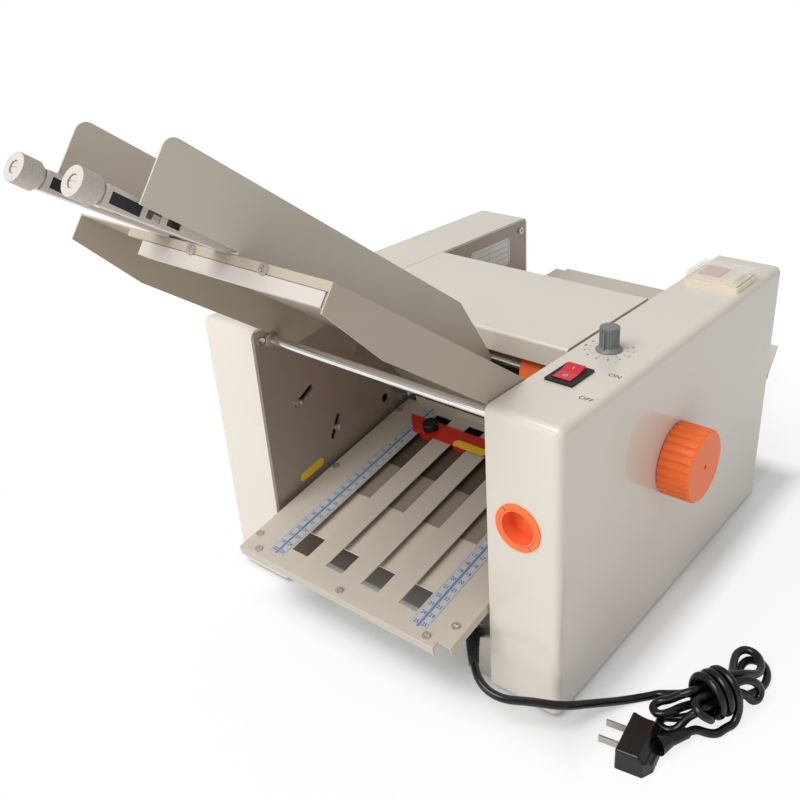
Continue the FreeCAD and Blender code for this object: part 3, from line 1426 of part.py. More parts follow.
def biarcs(points, way_in, way_out):
    """Two tangent arcs from each point to the next."""
    ways = [way_in]
    for before, here, after in zip(points, points[1:], points[2:]):
        into, out = here - before, after - here
        way = into * (out.Length / into.Length) + out * (into.Length / out.Length)
        way.normalize()
        ways.append(way)
    ways.append(way_out)
    edges = []
    for p, q, u, v in zip(points, points[1:], ways, ways[1:]):
        step = q - p
        both = step.dot(u + v)
        bend = 2 * (1 - u.dot(v))
        reach = step.dot(step) / (both + math.sqrt(both ** 2 + bend * step.dot(step)))
        corner_p, corner_q = p + u * reach, q - v * reach
        meet = (corner_p + corner_q) * 0.5
        edges.append(tangent_arc(p, corner_p, meet))
        edges.append(tangent_arc(meet, corner_q, q))
    return edges


def tangent_arc(first, corner, last):
    """Arc between two points, tangent to the lines from them to the corner."""
    half_chord = (last - first) * 0.5
    middle = first + half_chord
    rise = corner - middle
    if rise.Length < least_rise:
        return Part.LineSegment(first, last).toShape()
    half_turn = math.atan2(rise.Length, half_chord.Length)
    rise.normalize()
    return Part.Arc(first, middle + rise * (half_chord.Length * math.tan(half_turn / 2)), last).toShape()


def measured(edges):
    """Length, least gap between stretches that aren't neighbours, and lowest height of the centre line."""
    samples = []
    length = 0
    for edge in edges:
        count = max(2, int(edge.Length / gap_step) + 1)
        first, last = edge.ParameterRange
        for k in range(count):
            samples.append((length + edge.Length * k / count,
                            edge.valueAt(first + (last - first) * k / count)))
        length += edge.Length
    apart = 2.5 * cord_d
    gap = min((p - q).Length for i, (s, p) in enumerate(samples) for t, q in samples[i + 1:] if t - s > apart)
    return length, gap - cord_d, min(p.z for s, p in samples)


def make_plug():
    frame = FreeCAD.Placement(Vector(*plug_centre, 0), FreeCAD.Rotation(Z_AXIS, plug_turn))
    plan = Part.Wire([
        Part.LineSegment(Vector(plug_pin_side, plug_back, 0), Vector(plug_pin_side, plug_front, 0)).toShape(),
        Part.LineSegment(Vector(plug_pin_side, plug_front, 0),
                         Vector(plug_shoulder, plug_front, 0)).toShape(),
        Part.LineSegment(Vector(plug_shoulder, plug_front, 0),
                         Vector(plug_far_side, plug_front + plug_shoulder, 0)).toShape(),
        Part.LineSegment(Vector(plug_far_side, plug_front + plug_shoulder, 0),
                         Vector(plug_far_side, plug_back, 0)).toShape(),
        Part.Arc(Vector(plug_far_side, plug_back, 0), Vector(0, plug_back - plug_hollow, 0),
                 Vector(plug_pin_side, plug_back, 0)).toShape()])
    column = Part.Face(plan).extrude(Vector(0, 0, plug_height))
    run_y = plug_back - plug_front + 2 * overrun
    section = prism([Vector(plug_pin_side, plug_front - overrun, 0),
                     Vector(plug_far_side, plug_front - overrun, 0),
                     Vector(plug_far_side, plug_front - overrun, plug_slope_foot),
                     Vector(plug_slope_top, plug_front - overrun, plug_height),
                     Vector(plug_pin_side, plug_front - overrun, plug_height)], Y_AXIS * run_y)
    body = column.common(section)
    body = round_edges(body, plug_edge_r, lambda p, e: p.z > plug_edge_r)
    slope = (plug_far_side - plug_slope_top) / (plug_height - plug_slope_foot)
    for height in plug_groove_heights:
        x = plug_far_side - (height - plug_slope_foot) * slope
        body = body.cut(rod(Vector(x, plug_front - overrun, height), Y_AXIS, plug_groove / 2, run_y))
    body = placed(body, frame)
    hank_frame = FreeCAD.Placement(Vector(*hank_place, 0), FreeCAD.Rotation(Z_AXIS, hank_heading))
    tip = hank_frame.multVec(Vector(*hank_end))
    into = hank_frame.Rotation.multVec(X_AXIS * -1)
    slim = Part.makeCone(neck_r, neck_mid_r, neck_slim, tip, into)
    root = Part.makeCone(neck_mid_r, neck_root_r, neck_length - neck_slim, tip + into * neck_slim, into)
    add("plug_body", body.fuse([slim, root]).removeSplitter())
    pins = []
    for sign in (-1, 1):
        y = (plug_front + plug_back) / 2 + sign * pin_spacing / 2
        pin = box(plug_pin_side - pin_length, plug_pin_side, y - pin_thick / 2, y + pin_thick / 2,
                  pin_z - pin_width / 2, pin_z + pin_width / 2)
        pins.append(placed(pin, frame))
    add("plug_pins", group(pins))


def main():
    make_housings()
    make_frame()
    make_cover()
    make_table()
    make_guides()
    make_trays()
    make_rollers()
    make_bearings()
    make_hand_drive()
    make_feed()
    make_motor()
    make_controls()
    make_delivery()
    make_latches()
    make_cord()
    for name, solids in groups.items():
        add(name, group(solids))
    os.makedirs("parts", exist_ok=True)
    for name, shape in shapes.items():
        shape.translate(origin * -1)
        print("%-22s solids %d valid %s" % (name, len(shape.Solids), shape.isValid()))
        shape.exportStep("parts/" + name + ".step")
    print("nodes", len(shapes), "origin", origin, "rollers", roller_a, roller_b, roller_c, roller_d)
    print("hand", hand_axis, "feed", feed_axis, "rear", rear_origin)


main()
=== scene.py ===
import bpy
import bmesh
import json
import math
from mathutils import Matrix, Vector


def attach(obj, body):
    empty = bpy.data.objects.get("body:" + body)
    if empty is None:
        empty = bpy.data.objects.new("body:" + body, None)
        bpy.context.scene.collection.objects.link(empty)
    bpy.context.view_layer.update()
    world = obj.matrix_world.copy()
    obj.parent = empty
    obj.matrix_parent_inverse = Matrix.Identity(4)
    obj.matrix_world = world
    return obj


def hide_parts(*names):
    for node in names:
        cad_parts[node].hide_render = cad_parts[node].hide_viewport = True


# Looks of the paper folding machine, in metres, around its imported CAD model.
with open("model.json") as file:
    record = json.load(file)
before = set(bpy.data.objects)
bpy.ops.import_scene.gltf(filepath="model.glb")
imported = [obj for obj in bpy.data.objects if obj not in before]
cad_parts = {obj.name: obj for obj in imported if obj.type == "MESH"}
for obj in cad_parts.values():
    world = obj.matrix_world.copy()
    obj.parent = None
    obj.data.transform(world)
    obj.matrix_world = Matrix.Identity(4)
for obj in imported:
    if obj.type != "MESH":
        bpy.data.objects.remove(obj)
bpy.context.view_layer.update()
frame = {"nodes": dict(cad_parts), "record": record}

# Places copied from part.py, whose own zero lies this far from the row frame's origin
part_origin = Vector((0.0154, 0.225547, 0.0))
tray_z = 0.0899
tray_slope = 12.06
table_front = (0.0, -0.132, 0.4083)
table_slope = 36.1
housing_top = 0.273
wall_face = 0.1251
ruler_x = 0.0843
ruler_width = 0.017
ruler_front = -0.047
ruler_back = 0.184
ruler_thick = 0.0003
stop_thick = 0.0016
stop_lift = 0.0004
tray_middle = 0.0018
nip_distance = 0.207
switch_place = (0.1494, 0.0769)
rocker_tilt = 7.0
rocker_slope = 6.7
rocker_face = (0.00595, 0.0039)
dial_place = (0.1497, 0.137)
counter_top = 0.281
port_place = (0.1542, 0.1774)
port_face = -0.0012
port_ring_inner = 0.0166
port_ring_outer = 0.0204
bar_place = (0.0148, 0.2588)
bar_r = 0.0045
arm_x = 0.0286
arm_half = 0.0074
arm_window = ((-0.0855, -0.0031), (-0.0659, 0.0033))

# Camera
camera_place = (0.4656, -0.68551, 0.5814)
camera_turn = 36.284
camera_tilt = 26.828
camera_roll = -0.852
camera_lens = 40.82
camera_sensor = 36.0
camera_shift = (-0.1305, -0.0148)

# Light
floor_size = 12.0
floor_grey = 0.92
floor_rough = 0.9
floor_gloss = 0.1
sky_strength = 0.50
key_place = (-0.55, -2.0, 2.95)
key_size = 2.6
key_power = 86.0
fill_place = (-0.9, -3.2, 1.0)
fill_size = 2.0
fill_power = 10.0
under_share = 0.12
under_half = (0.20, 0.245)
under_fade = (0.97, 1.12)
floor_share = 0.80
floor_fade = (0.30, 0.62)
light_aim = (0.0, 0.0, 0.15)

# Cord and hank, as in part.py
cord_d = 0.007
lead_route = (
    (0.1076, -0.0015, 0.0492), (0.1195, -0.018, 0.0446), (0.138, -0.0335, 0.0375), (0.160, -0.0345, 0.034),
    (0.180, -0.0205, 0.032), (0.201, -0.0075, 0.028), (0.213, 0.0195, 0.0155), (0.226, 0.046, 0.0039),
    (0.243, 0.0645, 0.0039))
hank_place = (0.2915, 0.082)
hank_heading = 62.0
strand_rest = 0.0039
strand_ring_r = 0.0084
strand_angles = (0, 60, 300, 240, 180, 120)
strand_straight = (0.005, 0.013)
waist_mouth = 0.019
mouth_spread = 1.06
turn_r = 0.0168
waist_turns = 3
turn_pitch = 0.0081
first_turn_at = -0.0126
loops = (
    ((0.029, 0.014, 0.017), (0.042, 0.026, 0.0135), (0.053, 0.0345, 0.012), (0.062, 0.035, 0.012),
     (0.0665, 0.027, 0.012), (0.0625, 0.0155, 0.012), (0.051, 0.0065, 0.015), (0.036, 0.0045, 0.0225)),
    ((0.027, 0.008, 0.0245), (0.034, 0.0135, 0.0175), (0.041, 0.0185, 0.0132), (0.0475, 0.0165, 0.012),
     (0.048, 0.0095, 0.0122), (0.041, 0.0056, 0.0134), (0.029, 0.0049, 0.0142)),
    ((0.030, 0.010, 0.008), (0.042, 0.019, 0.0039), (0.054, 0.028, 0.0039), (0.064, 0.0295, 0.0039),
     (0.070, 0.021, 0.0039), (0.065, 0.009, 0.0039), (0.053, 0.0005, 0.0039), (0.038, -0.0025, 0.0052),
     (0.028, -0.0036, 0.0095)),
    ((0.025, -0.0012, 0.0082), (0.033, 0.0048, 0.0043), (0.041, 0.0094, 0.0039), (0.0478, 0.0062, 0.0039),
     (0.0465, -0.0015, 0.0039), (0.0395, -0.005, 0.0057), (0.0315, -0.0056, 0.0122),
     (0.025, -0.0079, 0.0184)),
    ((0.0255, -0.0106, 0.0162), (0.031, -0.0126, 0.0102), (0.0375, -0.012, 0.0096),
     (0.0405, -0.0095, 0.0155), (0.036, -0.007, 0.0225), (0.028, -0.0052, 0.0272)),
)
hank_way_in = ((-0.0245, 0.025, 0.0085), (-0.0195, 0.015, 0.016))
way_to_turns = ((-0.020, -0.0055, 0.0282), (-0.026, -0.0092, 0.0286), (-0.0265, -0.0165, 0.0265),
                (-0.0185, -0.0192, 0.019))
way_to_plug = ((0.0113, -0.018, 0.0126), (0.005, -0.021, 0.0052), (-0.004, -0.0216, 0.0039),
               (-0.0125, -0.0226, 0.0039), (-0.020, -0.0198, 0.0052))
hank_end = (-0.037, -0.0155, 0.0095)
turn_steps = 12
boot_r = 0.0063
boot_tip_r = 0.0041
boot_rings = 26
boot_share = 0.8
boot_groove = 0.0006
boot_groove_every = 4
boot_groove_at = 2

# Strips on the tray's lower plate, coloured as painted shade and painted reflection
strip_starts = (0.052, 0.100, 0.150)
strip_end = 0.183
strip_half = 0.100
strip_height = -0.0058
strip_thick = 0.0001
strip_rough = 0.20
strip_coat = 0.4

# Marks, labels and small pieces
mark_thick = 0.00006
label_thick = 0.0003
first_number = 25
last_number = 3
number_pitch = 0.010
digit_size = 0.0050
digit_column = 0.0043
centre_line_width = 0.0026
tick_pitch = 0.001
tick_width = 0.00014
short_tick = 0.0010
long_tick = 0.0018
ticks_to_long = 5
wall_sticker = (0.0435, 0.108)
wall_sticker_size = (0.032, 0.009)
stop_sticker = (-0.007, 0.1488)
stop_sticker_size = (0.040, 0.0092)
sticker_end_share = 0.499
plate_middle = (0.3425, 0.241)
plate_size = (0.075, 0.032)
plate_line = 0.0004
plate_margin = 0.003
plate_rows = 4
plate_split_share = 0.45
rivet_r = 0.0014
rivet_h = 0.0006
rivet_pole_r = 0.0001
rivet_top_share = 0.7
rivet_edge_share = 0.8
rivet_steps = 16
dial_steps = 10
dial_sweep = 270.0
dial_tick = (0.0145, 0.0172)
dial_tick_width = 0.0004
dial_number_r = 0.0205
dial_number_size = 0.0044
on_place = (0.1783, 0.0963)
off_place = (0.1799, 0.0509)
word_size = 0.0070
rocker_mark_size = 0.0052
card_low = (0.1405, 0.3245)
card_high = (0.1620, 0.3505)
card_h = 0.0016
port_gap_angles = (132.0, -52.0)
port_gap_width = 0.0006
collar_r = 0.0072
collar_length = 0.0035
collar_edge_share = 0.8
collar_end_share = 0.94
round_steps = 48
letter_steps = 3
cord_order = 3
cord_steps = 6
cord_sides = 5
cord_push = 0.2


def shifted(x, y, z=0.0):
    """Point of part.py's own frame in the row frame."""
    return Vector((x, y, z)) - part_origin


def tilted(place, degrees):
    """Frame of a sloping plate: x across, then up the slope, then out of it."""
    return Matrix.Translation(shifted(*place)) @ Matrix.Rotation(math.radians(degrees), 4, "X")


tray_frame = tilted((0.0, 0.0, tray_z), tray_slope)
table_frame = tilted(table_front, -table_slope)


def linear(red, green, blue):
    """Linear colour from the usual 0 to 255 values."""
    values = [v / 255 for v in (red, green, blue)]
    return [v / 12.92 if v <= 0.04045 else ((v + 0.055) / 1.055) ** 2.4 for v in values] + [1.0]


# Colours
housing_colour = linear(218, 211, 199)
tray_colour = linear(194, 185, 172)
guide_colour = linear(206, 197, 183)
pan_colour = linear(182, 170, 153)
wall_colour = linear(172, 158, 148)
rail_colour = linear(204, 196, 188)
lower_colour = linear(206, 196, 182)
base_colour = linear(176, 170, 168)
# Painted shade: medium, dark and near-black tones for the lower plate's strips, standing for shade and the
# reflection of the dark parts above
painted_shade_colours = (linear(146, 137, 122), linear(84, 74, 64), linear(34, 29, 26))
stop_colour = linear(214, 38, 22)
chrome_colour = linear(232, 230, 228)
steel_colour = linear(190, 186, 180)
black_colour = linear(24, 23, 24)
grey_colour = linear(122, 124, 122)
white_colour = linear(206, 199, 192)
cream_colour = linear(236, 222, 200)
orange_colour = linear(255, 118, 48)
port_colour = linear(250, 120, 70)
red_colour = linear(206, 24, 48)
clear_colour = linear(246, 246, 242)
film_colour = linear(180, 186, 194)
film_line_colour = linear(112, 128, 154)
rubber_colour = linear(44, 42, 41)
jacket_colour = linear(13, 12, 13)
bronze_colour = linear(176, 140, 84)
board_colour = linear(30, 92, 52)
sticker_colour = linear(252, 206, 48)
plate_colour = linear(216, 216, 213)
faint_ink_colour = linear(120, 120, 120)
ink_colour = linear(28, 28, 30)
display_colour = linear(206, 160, 150)
zinc_colour = linear(216, 212, 206)


# Settings that all materials share
coat_rough = 0.08
broad_detail = 4.0
fine_detail = 3.0
least_rough = 0.02
clear_alpha = 0.24
clear_coat = 0.6


def new_material(name, colour, rough, metallic=0.0, shift=0.04, patch=9.0, grain=900.0, relief=0.00002,
                 rough_shift=0.06, coat=0.0, stretch=(1.0, 1.0, 1.0)):
    """Paint, plastic or metal with soft patches of tone and a fine relief."""
    material = bpy.data.materials.new(name)
    material.use_nodes = True
    nodes, links = material.node_tree.nodes, material.node_tree.links
    shader = nodes["Principled BSDF"]
    shader.inputs["Metallic"].default_value = metallic
    shader.inputs["Coat Weight"].default_value = coat
    shader.inputs["Coat Roughness"].default_value = coat_rough
    place = nodes.new("ShaderNodeTexCoord")
    grid = nodes.new("ShaderNodeMapping")
    grid.inputs["Scale"].default_value = stretch
    links.new(place.outputs["Object"], grid.inputs["Vector"])
    broad = nodes.new("ShaderNodeTexNoise")
    broad.inputs["Scale"].default_value = patch
    broad.inputs["Detail"].default_value = broad_detail
    fine = nodes.new("ShaderNodeTexNoise")
    fine.inputs["Scale"].default_value = grain
    fine.inputs["Detail"].default_value = fine_detail
    links.new(grid.outputs["Vector"], broad.inputs["Vector"])
    links.new(grid.outputs["Vector"], fine.inputs["Vector"])
    tone = nodes.new("ShaderNodeMix")
    tone.data_type = "RGBA"
    tone.inputs["A"].default_value = [c * (1 - shift) for c in colour[:3]] + [1.0]
    tone.inputs["B"].default_value = [min(1.0, c * (1 + shift)) for c in colour[:3]] + [1.0]
    links.new(broad.outputs["Fac"], tone.inputs["Factor"])
    links.new(tone.outputs["Result"], shader.inputs["Base Color"])
    spread = nodes.new("ShaderNodeMapRange")
    spread.inputs["To Min"].default_value = max(least_rough, rough - rough_shift)
    spread.inputs["To Max"].default_value = rough + rough_shift
    links.new(broad.outputs["Fac"], spread.inputs["Value"])
    links.new(spread.outputs["Result"], shader.inputs["Roughness"])
    bump = nodes.new("ShaderNodeBump")
    bump.inputs["Distance"].default_value = relief
    links.new(fine.outputs["Fac"], bump.inputs["Height"])
    links.new(bump.outputs["Normal"], shader.inputs["Normal"])
    return material


def clear_material(name, colour, rough):
    """Thin clear plastic: mostly see-through, with its own gloss."""
    material = new_material(name, colour, rough, shift=0.01, relief=0.00001, rough_shift=0.03)
    shader = material.node_tree.nodes["Principled BSDF"]
    shader.inputs["Alpha"].default_value = clear_alpha
    shader.inputs["Coat Weight"].default_value = clear_coat
    return material


housing_paint = new_material("housing_paint", housing_colour, 0.30, coat=0.5)
tray_paint = new_material("tray_paint", tray_colour, 0.36)
guide_paint = new_material("guide_paint", guide_colour, 0.38)
pan_paint = new_material("pan_paint", pan_colour, 0.38)
wall_paint = new_material("wall_paint", wall_colour, 0.34, metallic=0.35)
rail_plastic = new_material("rail_plastic", rail_colour, 0.30)
stop_paint = new_material("stop_paint", stop_colour, 0.30, coat=0.3)
chrome = new_material("chrome", chrome_colour, 0.07, metallic=1.0, rough_shift=0.02, relief=0.000003)
steel = new_material("steel", steel_colour, 0.30, metallic=1.0, stretch=(1.0, 1.0, 6.0))
black_plastic = new_material("black_plastic", black_colour, 0.50)
grey_plastic = new_material("grey_plastic", grey_colour, 0.46)
white_plastic = new_material("white_plastic", white_colour, 0.35)
orange_plastic = new_material("orange_plastic", orange_colour, 0.40)
port_plastic = new_material("port_plastic", port_colour, 0.40)
red_plastic = new_material("red_plastic", red_colour, 0.16, coat=0.5)
clear_plastic = clear_material("clear_plastic", clear_colour, 0.08)
ruler_film = new_material("ruler_film", film_colour, 0.28)
film_line = new_material("film_line", film_line_colour, 0.28)
roller_rubber = new_material("roller_rubber", rubber_colour, 0.62, relief=0.00006)
orange_rubber = new_material("orange_rubber", orange_colour, 0.58, relief=0.00006)
black_rubber = new_material("black_rubber", black_colour, 0.66, relief=0.00005)
cord_jacket = new_material("cord_jacket", jacket_colour, 0.20, relief=0.00002)
bronze = new_material("bronze", bronze_colour, 0.34, metallic=1.0)
board_green = new_material("board_green", board_colour, 0.42)
sticker_film = new_material("sticker_film", sticker_colour, 0.30)
plate_foil = new_material("plate_foil", plate_colour, 0.34, metallic=0.4)
ink = new_material("ink", ink_colour, 0.45)
display_card = new_material("display_card", display_colour, 0.5)
cream_plastic = new_material("cream_plastic", cream_colour, 0.34)
lower_paint = new_material("lower_paint", lower_colour, 0.14, rough_shift=0.03, coat=0.6)
faint_ink = new_material("faint_ink", faint_ink_colour, 0.45)
base_paint = new_material("base_paint", base_colour, 0.45)
screw_zinc = new_material("screw_zinc", zinc_colour, 0.22, metallic=0.85)

slot_materials = {
    "housing_paint": housing_paint, "tray_paint": tray_paint, "wall_paint": wall_paint,
    "rail_plastic": rail_plastic, "stop_paint": stop_paint, "chrome": chrome, "steel": steel,
    "black_plastic": black_plastic, "grey_plastic": grey_plastic, "white_plastic": white_plastic,
    "orange_plastic": orange_plastic, "red_plastic": red_plastic, "clear_plastic": clear_plastic,
    "ruler_film": ruler_film, "roller_rubber": roller_rubber, "orange_rubber": orange_rubber,
    "black_rubber": black_rubber, "cord_jacket": cord_jacket, "bronze": bronze, "board_green": board_green}
node_materials = {
    "left_fin": guide_paint, "right_fin": guide_paint, "feed_table": pan_paint,
    "front_knob": port_plastic, "left_arm": rail_plastic, "right_arm": rail_plastic,
    "cross_screws": screw_zinc, "latch_springs": chrome,
    "tray_lower_plates": lower_paint, "counter_base": cream_plastic,
    "base_plate": base_paint,
    "plug_body": cord_jacket}
soft_edge_nodes = (
    "left_fin", "right_fin", "front_rail", "left_arm", "right_arm", "centre_cover", "switch_frame",
    "switch_rocker", "counter_base")
edge_width = 0.0003
edge_segments = 2
weld_distance = 0.00001
edge_angle = 40.0


def dress_nodes():
    """Each CAD node takes the material of its slot, and thin sheet gets softened edges."""
    for row in frame["record"]["subparts"]:
        node = frame["nodes"][row["node"]]
        material = node_materials.get(row["node"], slot_materials[row["material_slot"]])
        for place in node.material_slots:
            place.material = material
    for name in soft_edge_nodes:
        soften(frame["nodes"][name], edge_width)


def soften(piece, width):
    """Small rounded edges."""
    weld = piece.modifiers.new("weld", "WELD")
    weld.merge_threshold = weld_distance
    bevel = piece.modifiers.new("edges", "BEVEL")
    bevel.width = width
    bevel.segments = edge_segments
    bevel.limit_method = "ANGLE"
    bevel.angle_limit = math.radians(edge_angle)
    piece.modifiers.new("normals", "WEIGHTED_NORMAL").keep_sharp = True


def mesh_piece(name, bm, material, body):
    """New piece from mesh code, on its body."""
    mesh = bpy.data.meshes.new(name)
    bm.to_mesh(mesh)
    bm.free()
    mesh.materials.append(material)
    piece = bpy.data.objects.new(name, mesh)
    bpy.context.scene.collection.objects.link(piece)
    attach(piece, body)
    return piece


def add_block(bm, low, high, place=None):
    """Box between two corners, in a frame."""
    size = [h - l for l, h in zip(low, high)]
    middle = [(h + l) / 2 for l, h in zip(low, high)]
    matrix = (place or Matrix.Identity(4)) @ Matrix.Translation(middle) @ Matrix.Diagonal((*size, 1.0))
    bmesh.ops.create_cube(bm, size=1.0, matrix=matrix)


def add_words(bm, words, size, places, thick):
    """Letters as solid shapes, centred on each frame's zero and lying on its x-y plane."""
    curve = bpy.data.curves.new("words", "FONT")
    curve.body = words
    curve.size = size
    curve.extrude = thick / 2
    curve.align_x = "CENTER"
    curve.align_y = "CENTER"
    curve.resolution_u = letter_steps
    piece = bpy.data.objects.new("words", curve)
    bpy.context.scene.collection.objects.link(piece)
    bpy.context.view_layer.update()
    mesh = bpy.data.meshes.new_from_object(piece.evaluated_get(bpy.context.evaluated_depsgraph_get()))
    for place in places:
        moved = mesh.copy()
        moved.transform(place @ Matrix.Translation((0.0, 0.0, thick / 2)))
        bm.from_mesh(moved)
        bpy.data.meshes.remove(moved)
    bpy.data.objects.remove(piece)
    bpy.data.curves.remove(curve)
    bpy.data.meshes.remove(mesh)


def add_rounded_plate(bm, length, width, corner, thick, place, steps=8):
    """Flat plate with rounded corners, its underside on the frame's x-y plane."""
    ring = []
    for k, (sx, sy) in enumerate(((1, 1), (-1, 1), (-1, -1), (1, -1))):
        for j in range(steps + 1):
            a = math.radians(90 * (k + j / steps))
            ring.append((sx * (length / 2 - corner) + corner * math.cos(a),
                         sy * (width / 2 - corner) + corner * math.sin(a)))
    low = [bm.verts.new(place @ Vector((x, y, 0.0))) for x, y in ring]
    high = [bm.verts.new(place @ Vector((x, y, thick))) for x, y in ring]
    bm.faces.new(high)
    bm.faces.new(low[::-1])
    for k in range(len(ring)):
        n = (k + 1) % len(ring)
        bm.faces.new((low[k], low[n], high[n], high[k]))


def add_turned(bm, outline, place, steps=round_steps):
    """Closed outline of radius and height pairs, turned round a frame's z axis."""
    rings = []
    for k in range(steps):
        a = 2 * math.pi * k / steps
        rings.append([bm.verts.new(place @ Vector((r * math.cos(a), r * math.sin(a), z)))
                      for r, z in outline])
    for k, ring in enumerate(rings):
        after = rings[(k + 1) % steps]
        for j in range(len(outline)):
            n = (j + 1) % len(outline)
            bm.faces.new((ring[j], after[j], after[n], ring[n]))


def wall_place(y, z, slope=0.0):
    """Frame on the left inner wall: x to the back and up the slope, z out of the wall."""
    turn = Matrix(((0.0, 0.0, 1.0), (1.0, 0.0, 0.0), (0.0, 1.0, 0.0))).to_4x4()
    return Matrix.Translation(shifted(-wall_face, y, z)) @ turn @ Matrix.Rotation(math.radians(slope), 4, "Z")


def make_ruler_marks():
    """Centimetre numbers, a centre line and millimetre ticks on both rulers."""
    marks = bmesh.new()
    lines = bmesh.new()
    middles = [tray_middle + side * ruler_x for side in (-1, 1)]
    for number in range(last_number, first_number + 1):
        s = nip_distance - number * number_pitch
        places = [tray_frame @ Matrix.Translation((x + column * digit_column, s, ruler_thick))
                  for x in middles for column in (-1, 1)]
        add_words(marks, str(number), digit_size, places, mark_thick)
    count = int((ruler_back - ruler_front) / tick_pitch)
    for x in middles:
        add_block(lines, (x - centre_line_width / 2, ruler_front, ruler_thick),
                  (x + centre_line_width / 2, ruler_back, ruler_thick + mark_thick), tray_frame)
        for k in range(1, count):
            length = short_tick if k % ticks_to_long else long_tick
            s = ruler_front + k * tick_pitch
            for side in (-1, 1):
                edge = x + side * ruler_width / 2
                low, high = sorted((edge, edge - side * length))
                add_block(marks, (low, s - tick_width / 2, ruler_thick),
                          (high, s + tick_width / 2, ruler_thick + mark_thick), tray_frame)
    mesh_piece("ruler_marks", marks, ink, "machine_frame")
    mesh_piece("ruler_lines", lines, film_line, "machine_frame")


def make_lower_strips():
    """Darker thin strips on the tray's lower plate, one behind the other; their tones are painted shade and a
    painted reflection of the dark parts above.
    """
    for k, (start, colour) in enumerate(zip(strip_starts, painted_shade_colours)):
        bm = bmesh.new()
        name = "lower_strip_%d" % k
        end = strip_starts[k + 1] if k + 1 < len(strip_starts) else strip_end
        top = strip_height + (k + 1) * strip_thick
        add_block(bm, (tray_middle - strip_half, start, strip_height), (tray_middle + strip_half, end, top),
                  tray_frame)
        material = new_material(name, colour, strip_rough, coat=strip_coat)
        mesh_piece(name, bm, material, "machine_frame")


def make_stickers():
    """Bare oval stickers on the wall and on the paper stop."""
    wall = bmesh.new()
    length, width = wall_sticker_size
    add_rounded_plate(wall, length, width, width * sticker_end_share, mark_thick,
                      wall_place(*wall_sticker, tray_slope))
    mesh_piece("wall_sticker", wall, sticker_film, "machine_frame")
    stop = bmesh.new()
    length, width = stop_sticker_size
    top = stop_lift + stop_thick
    add_rounded_plate(stop, length, width, width * sticker_end_share, mark_thick,
                      tray_frame @ Matrix.Translation((*stop_sticker, top)))
    mesh_piece("stop_sticker", stop, sticker_film, "front_stop_slide")


def make_label_plate():
    """Bare label plate with empty ruled fields, held by four rivets."""
    place = wall_place(*plate_middle)
    plate = bmesh.new()
    length, width = plate_size
    add_rounded_plate(plate, length, width, plate_margin / 2, label_thick, place)
    mesh_piece("label_plate", plate, plate_foil, "machine_frame")
    rivets = bmesh.new()
    outline = ((rivet_pole_r, 0.0), (rivet_r, 0.0), (rivet_r * rivet_top_share, rivet_h * rivet_edge_share),
               (rivet_pole_r, rivet_h))
    for sx in (-1, 1):
        for sy in (-1, 1):
            corner = (sx * (length / 2 - plate_margin / 2), sy * (width / 2 - plate_margin / 2), label_thick)
            add_turned(rivets, outline, place @ Matrix.Translation(corner), rivet_steps)
    mesh_piece("label_rivets", rivets, steel, "machine_frame")
    lines = bmesh.new()
    line_top = label_thick + mark_thick
    x = length / 2 - plate_margin
    y = width / 2 - plate_margin
    for k in range(plate_rows + 1):
        at = -y + 2 * y * k / plate_rows
        add_block(lines, (-x, at - plate_line / 2, label_thick), (x, at + plate_line / 2, line_top), place)
    for at in (-x, x * (2 * plate_split_share - 1), x):
        add_block(lines, (at - plate_line / 2, -y, label_thick), (at + plate_line / 2, y, line_top), place)
    mesh_piece("label_lines", lines, faint_ink, "machine_frame")


def make_top_marks():
    """Dial scale, and the words beside the switch."""
    marks = bmesh.new()
    inner, outer = dial_tick
    for k in range(dial_steps + 1):
        heading = math.radians(dial_sweep * (0.5 - k / dial_steps))
        centre = Matrix.Translation(shifted(*dial_place, housing_top))
        spoke = centre @ Matrix.Rotation(heading, 4, "Z")
        add_block(marks, (-dial_tick_width / 2, -outer, 0.0), (dial_tick_width / 2, -inner, mark_thick),
                  spoke)
        number = (dial_number_r * math.sin(heading), -dial_number_r * math.cos(heading), 0.0)
        add_words(marks, str(k), dial_number_size, [centre @ Matrix.Translation(number)], mark_thick)
    for words, place in (("ON", on_place), ("OFF", off_place)):
        add_words(marks, words, word_size, [Matrix.Translation(shifted(*place, housing_top))], mark_thick)
    mesh_piece("top_marks", marks, ink, "machine_frame")


def make_rocker_marks():
    """White I on the rocker's upper face and O on its lower one."""
    bm = bmesh.new()
    turn = Matrix.Rotation(math.radians(rocker_tilt), 4, "X")
    pivot = Matrix.Translation(shifted(*switch_place, housing_top)) @ turn
    along, up = rocker_face
    for words, side in (("I", 1), ("O", -1)):
        face = pivot @ Matrix.Translation((0.0, side * along, up)) @ Matrix.Rotation(
            math.radians(side * rocker_slope), 4, "X")
        add_words(bm, words, rocker_mark_size, [face], mark_thick)
    mesh_piece("rocker_marks", bm, white_plastic, "power_switch")


def make_counter_card():
    """Bare card of the counting unit, under the clear cover."""
    bm = bmesh.new()
    low = shifted(*card_low, counter_top)
    high = shifted(*card_high, counter_top + card_h)
    add_block(bm, low, high)
    mesh_piece("counter_card", bm, display_card, "machine_frame")


def make_port_gaps():
    """Two dark gaps across the ring round the front knob."""
    bm = bmesh.new()
    centre = Matrix.Translation(shifted(port_place[0], port_face, port_place[1]))
    for angle in port_gap_angles:
        spoke = centre @ Matrix.Rotation(math.radians(-angle), 4, "Y")
        add_block(bm, (port_ring_inner, -mark_thick, -port_gap_width / 2),
                  (port_ring_outer, 0.0, port_gap_width / 2), spoke)
    mesh_piece("port_gaps", bm, ink, "machine_frame")


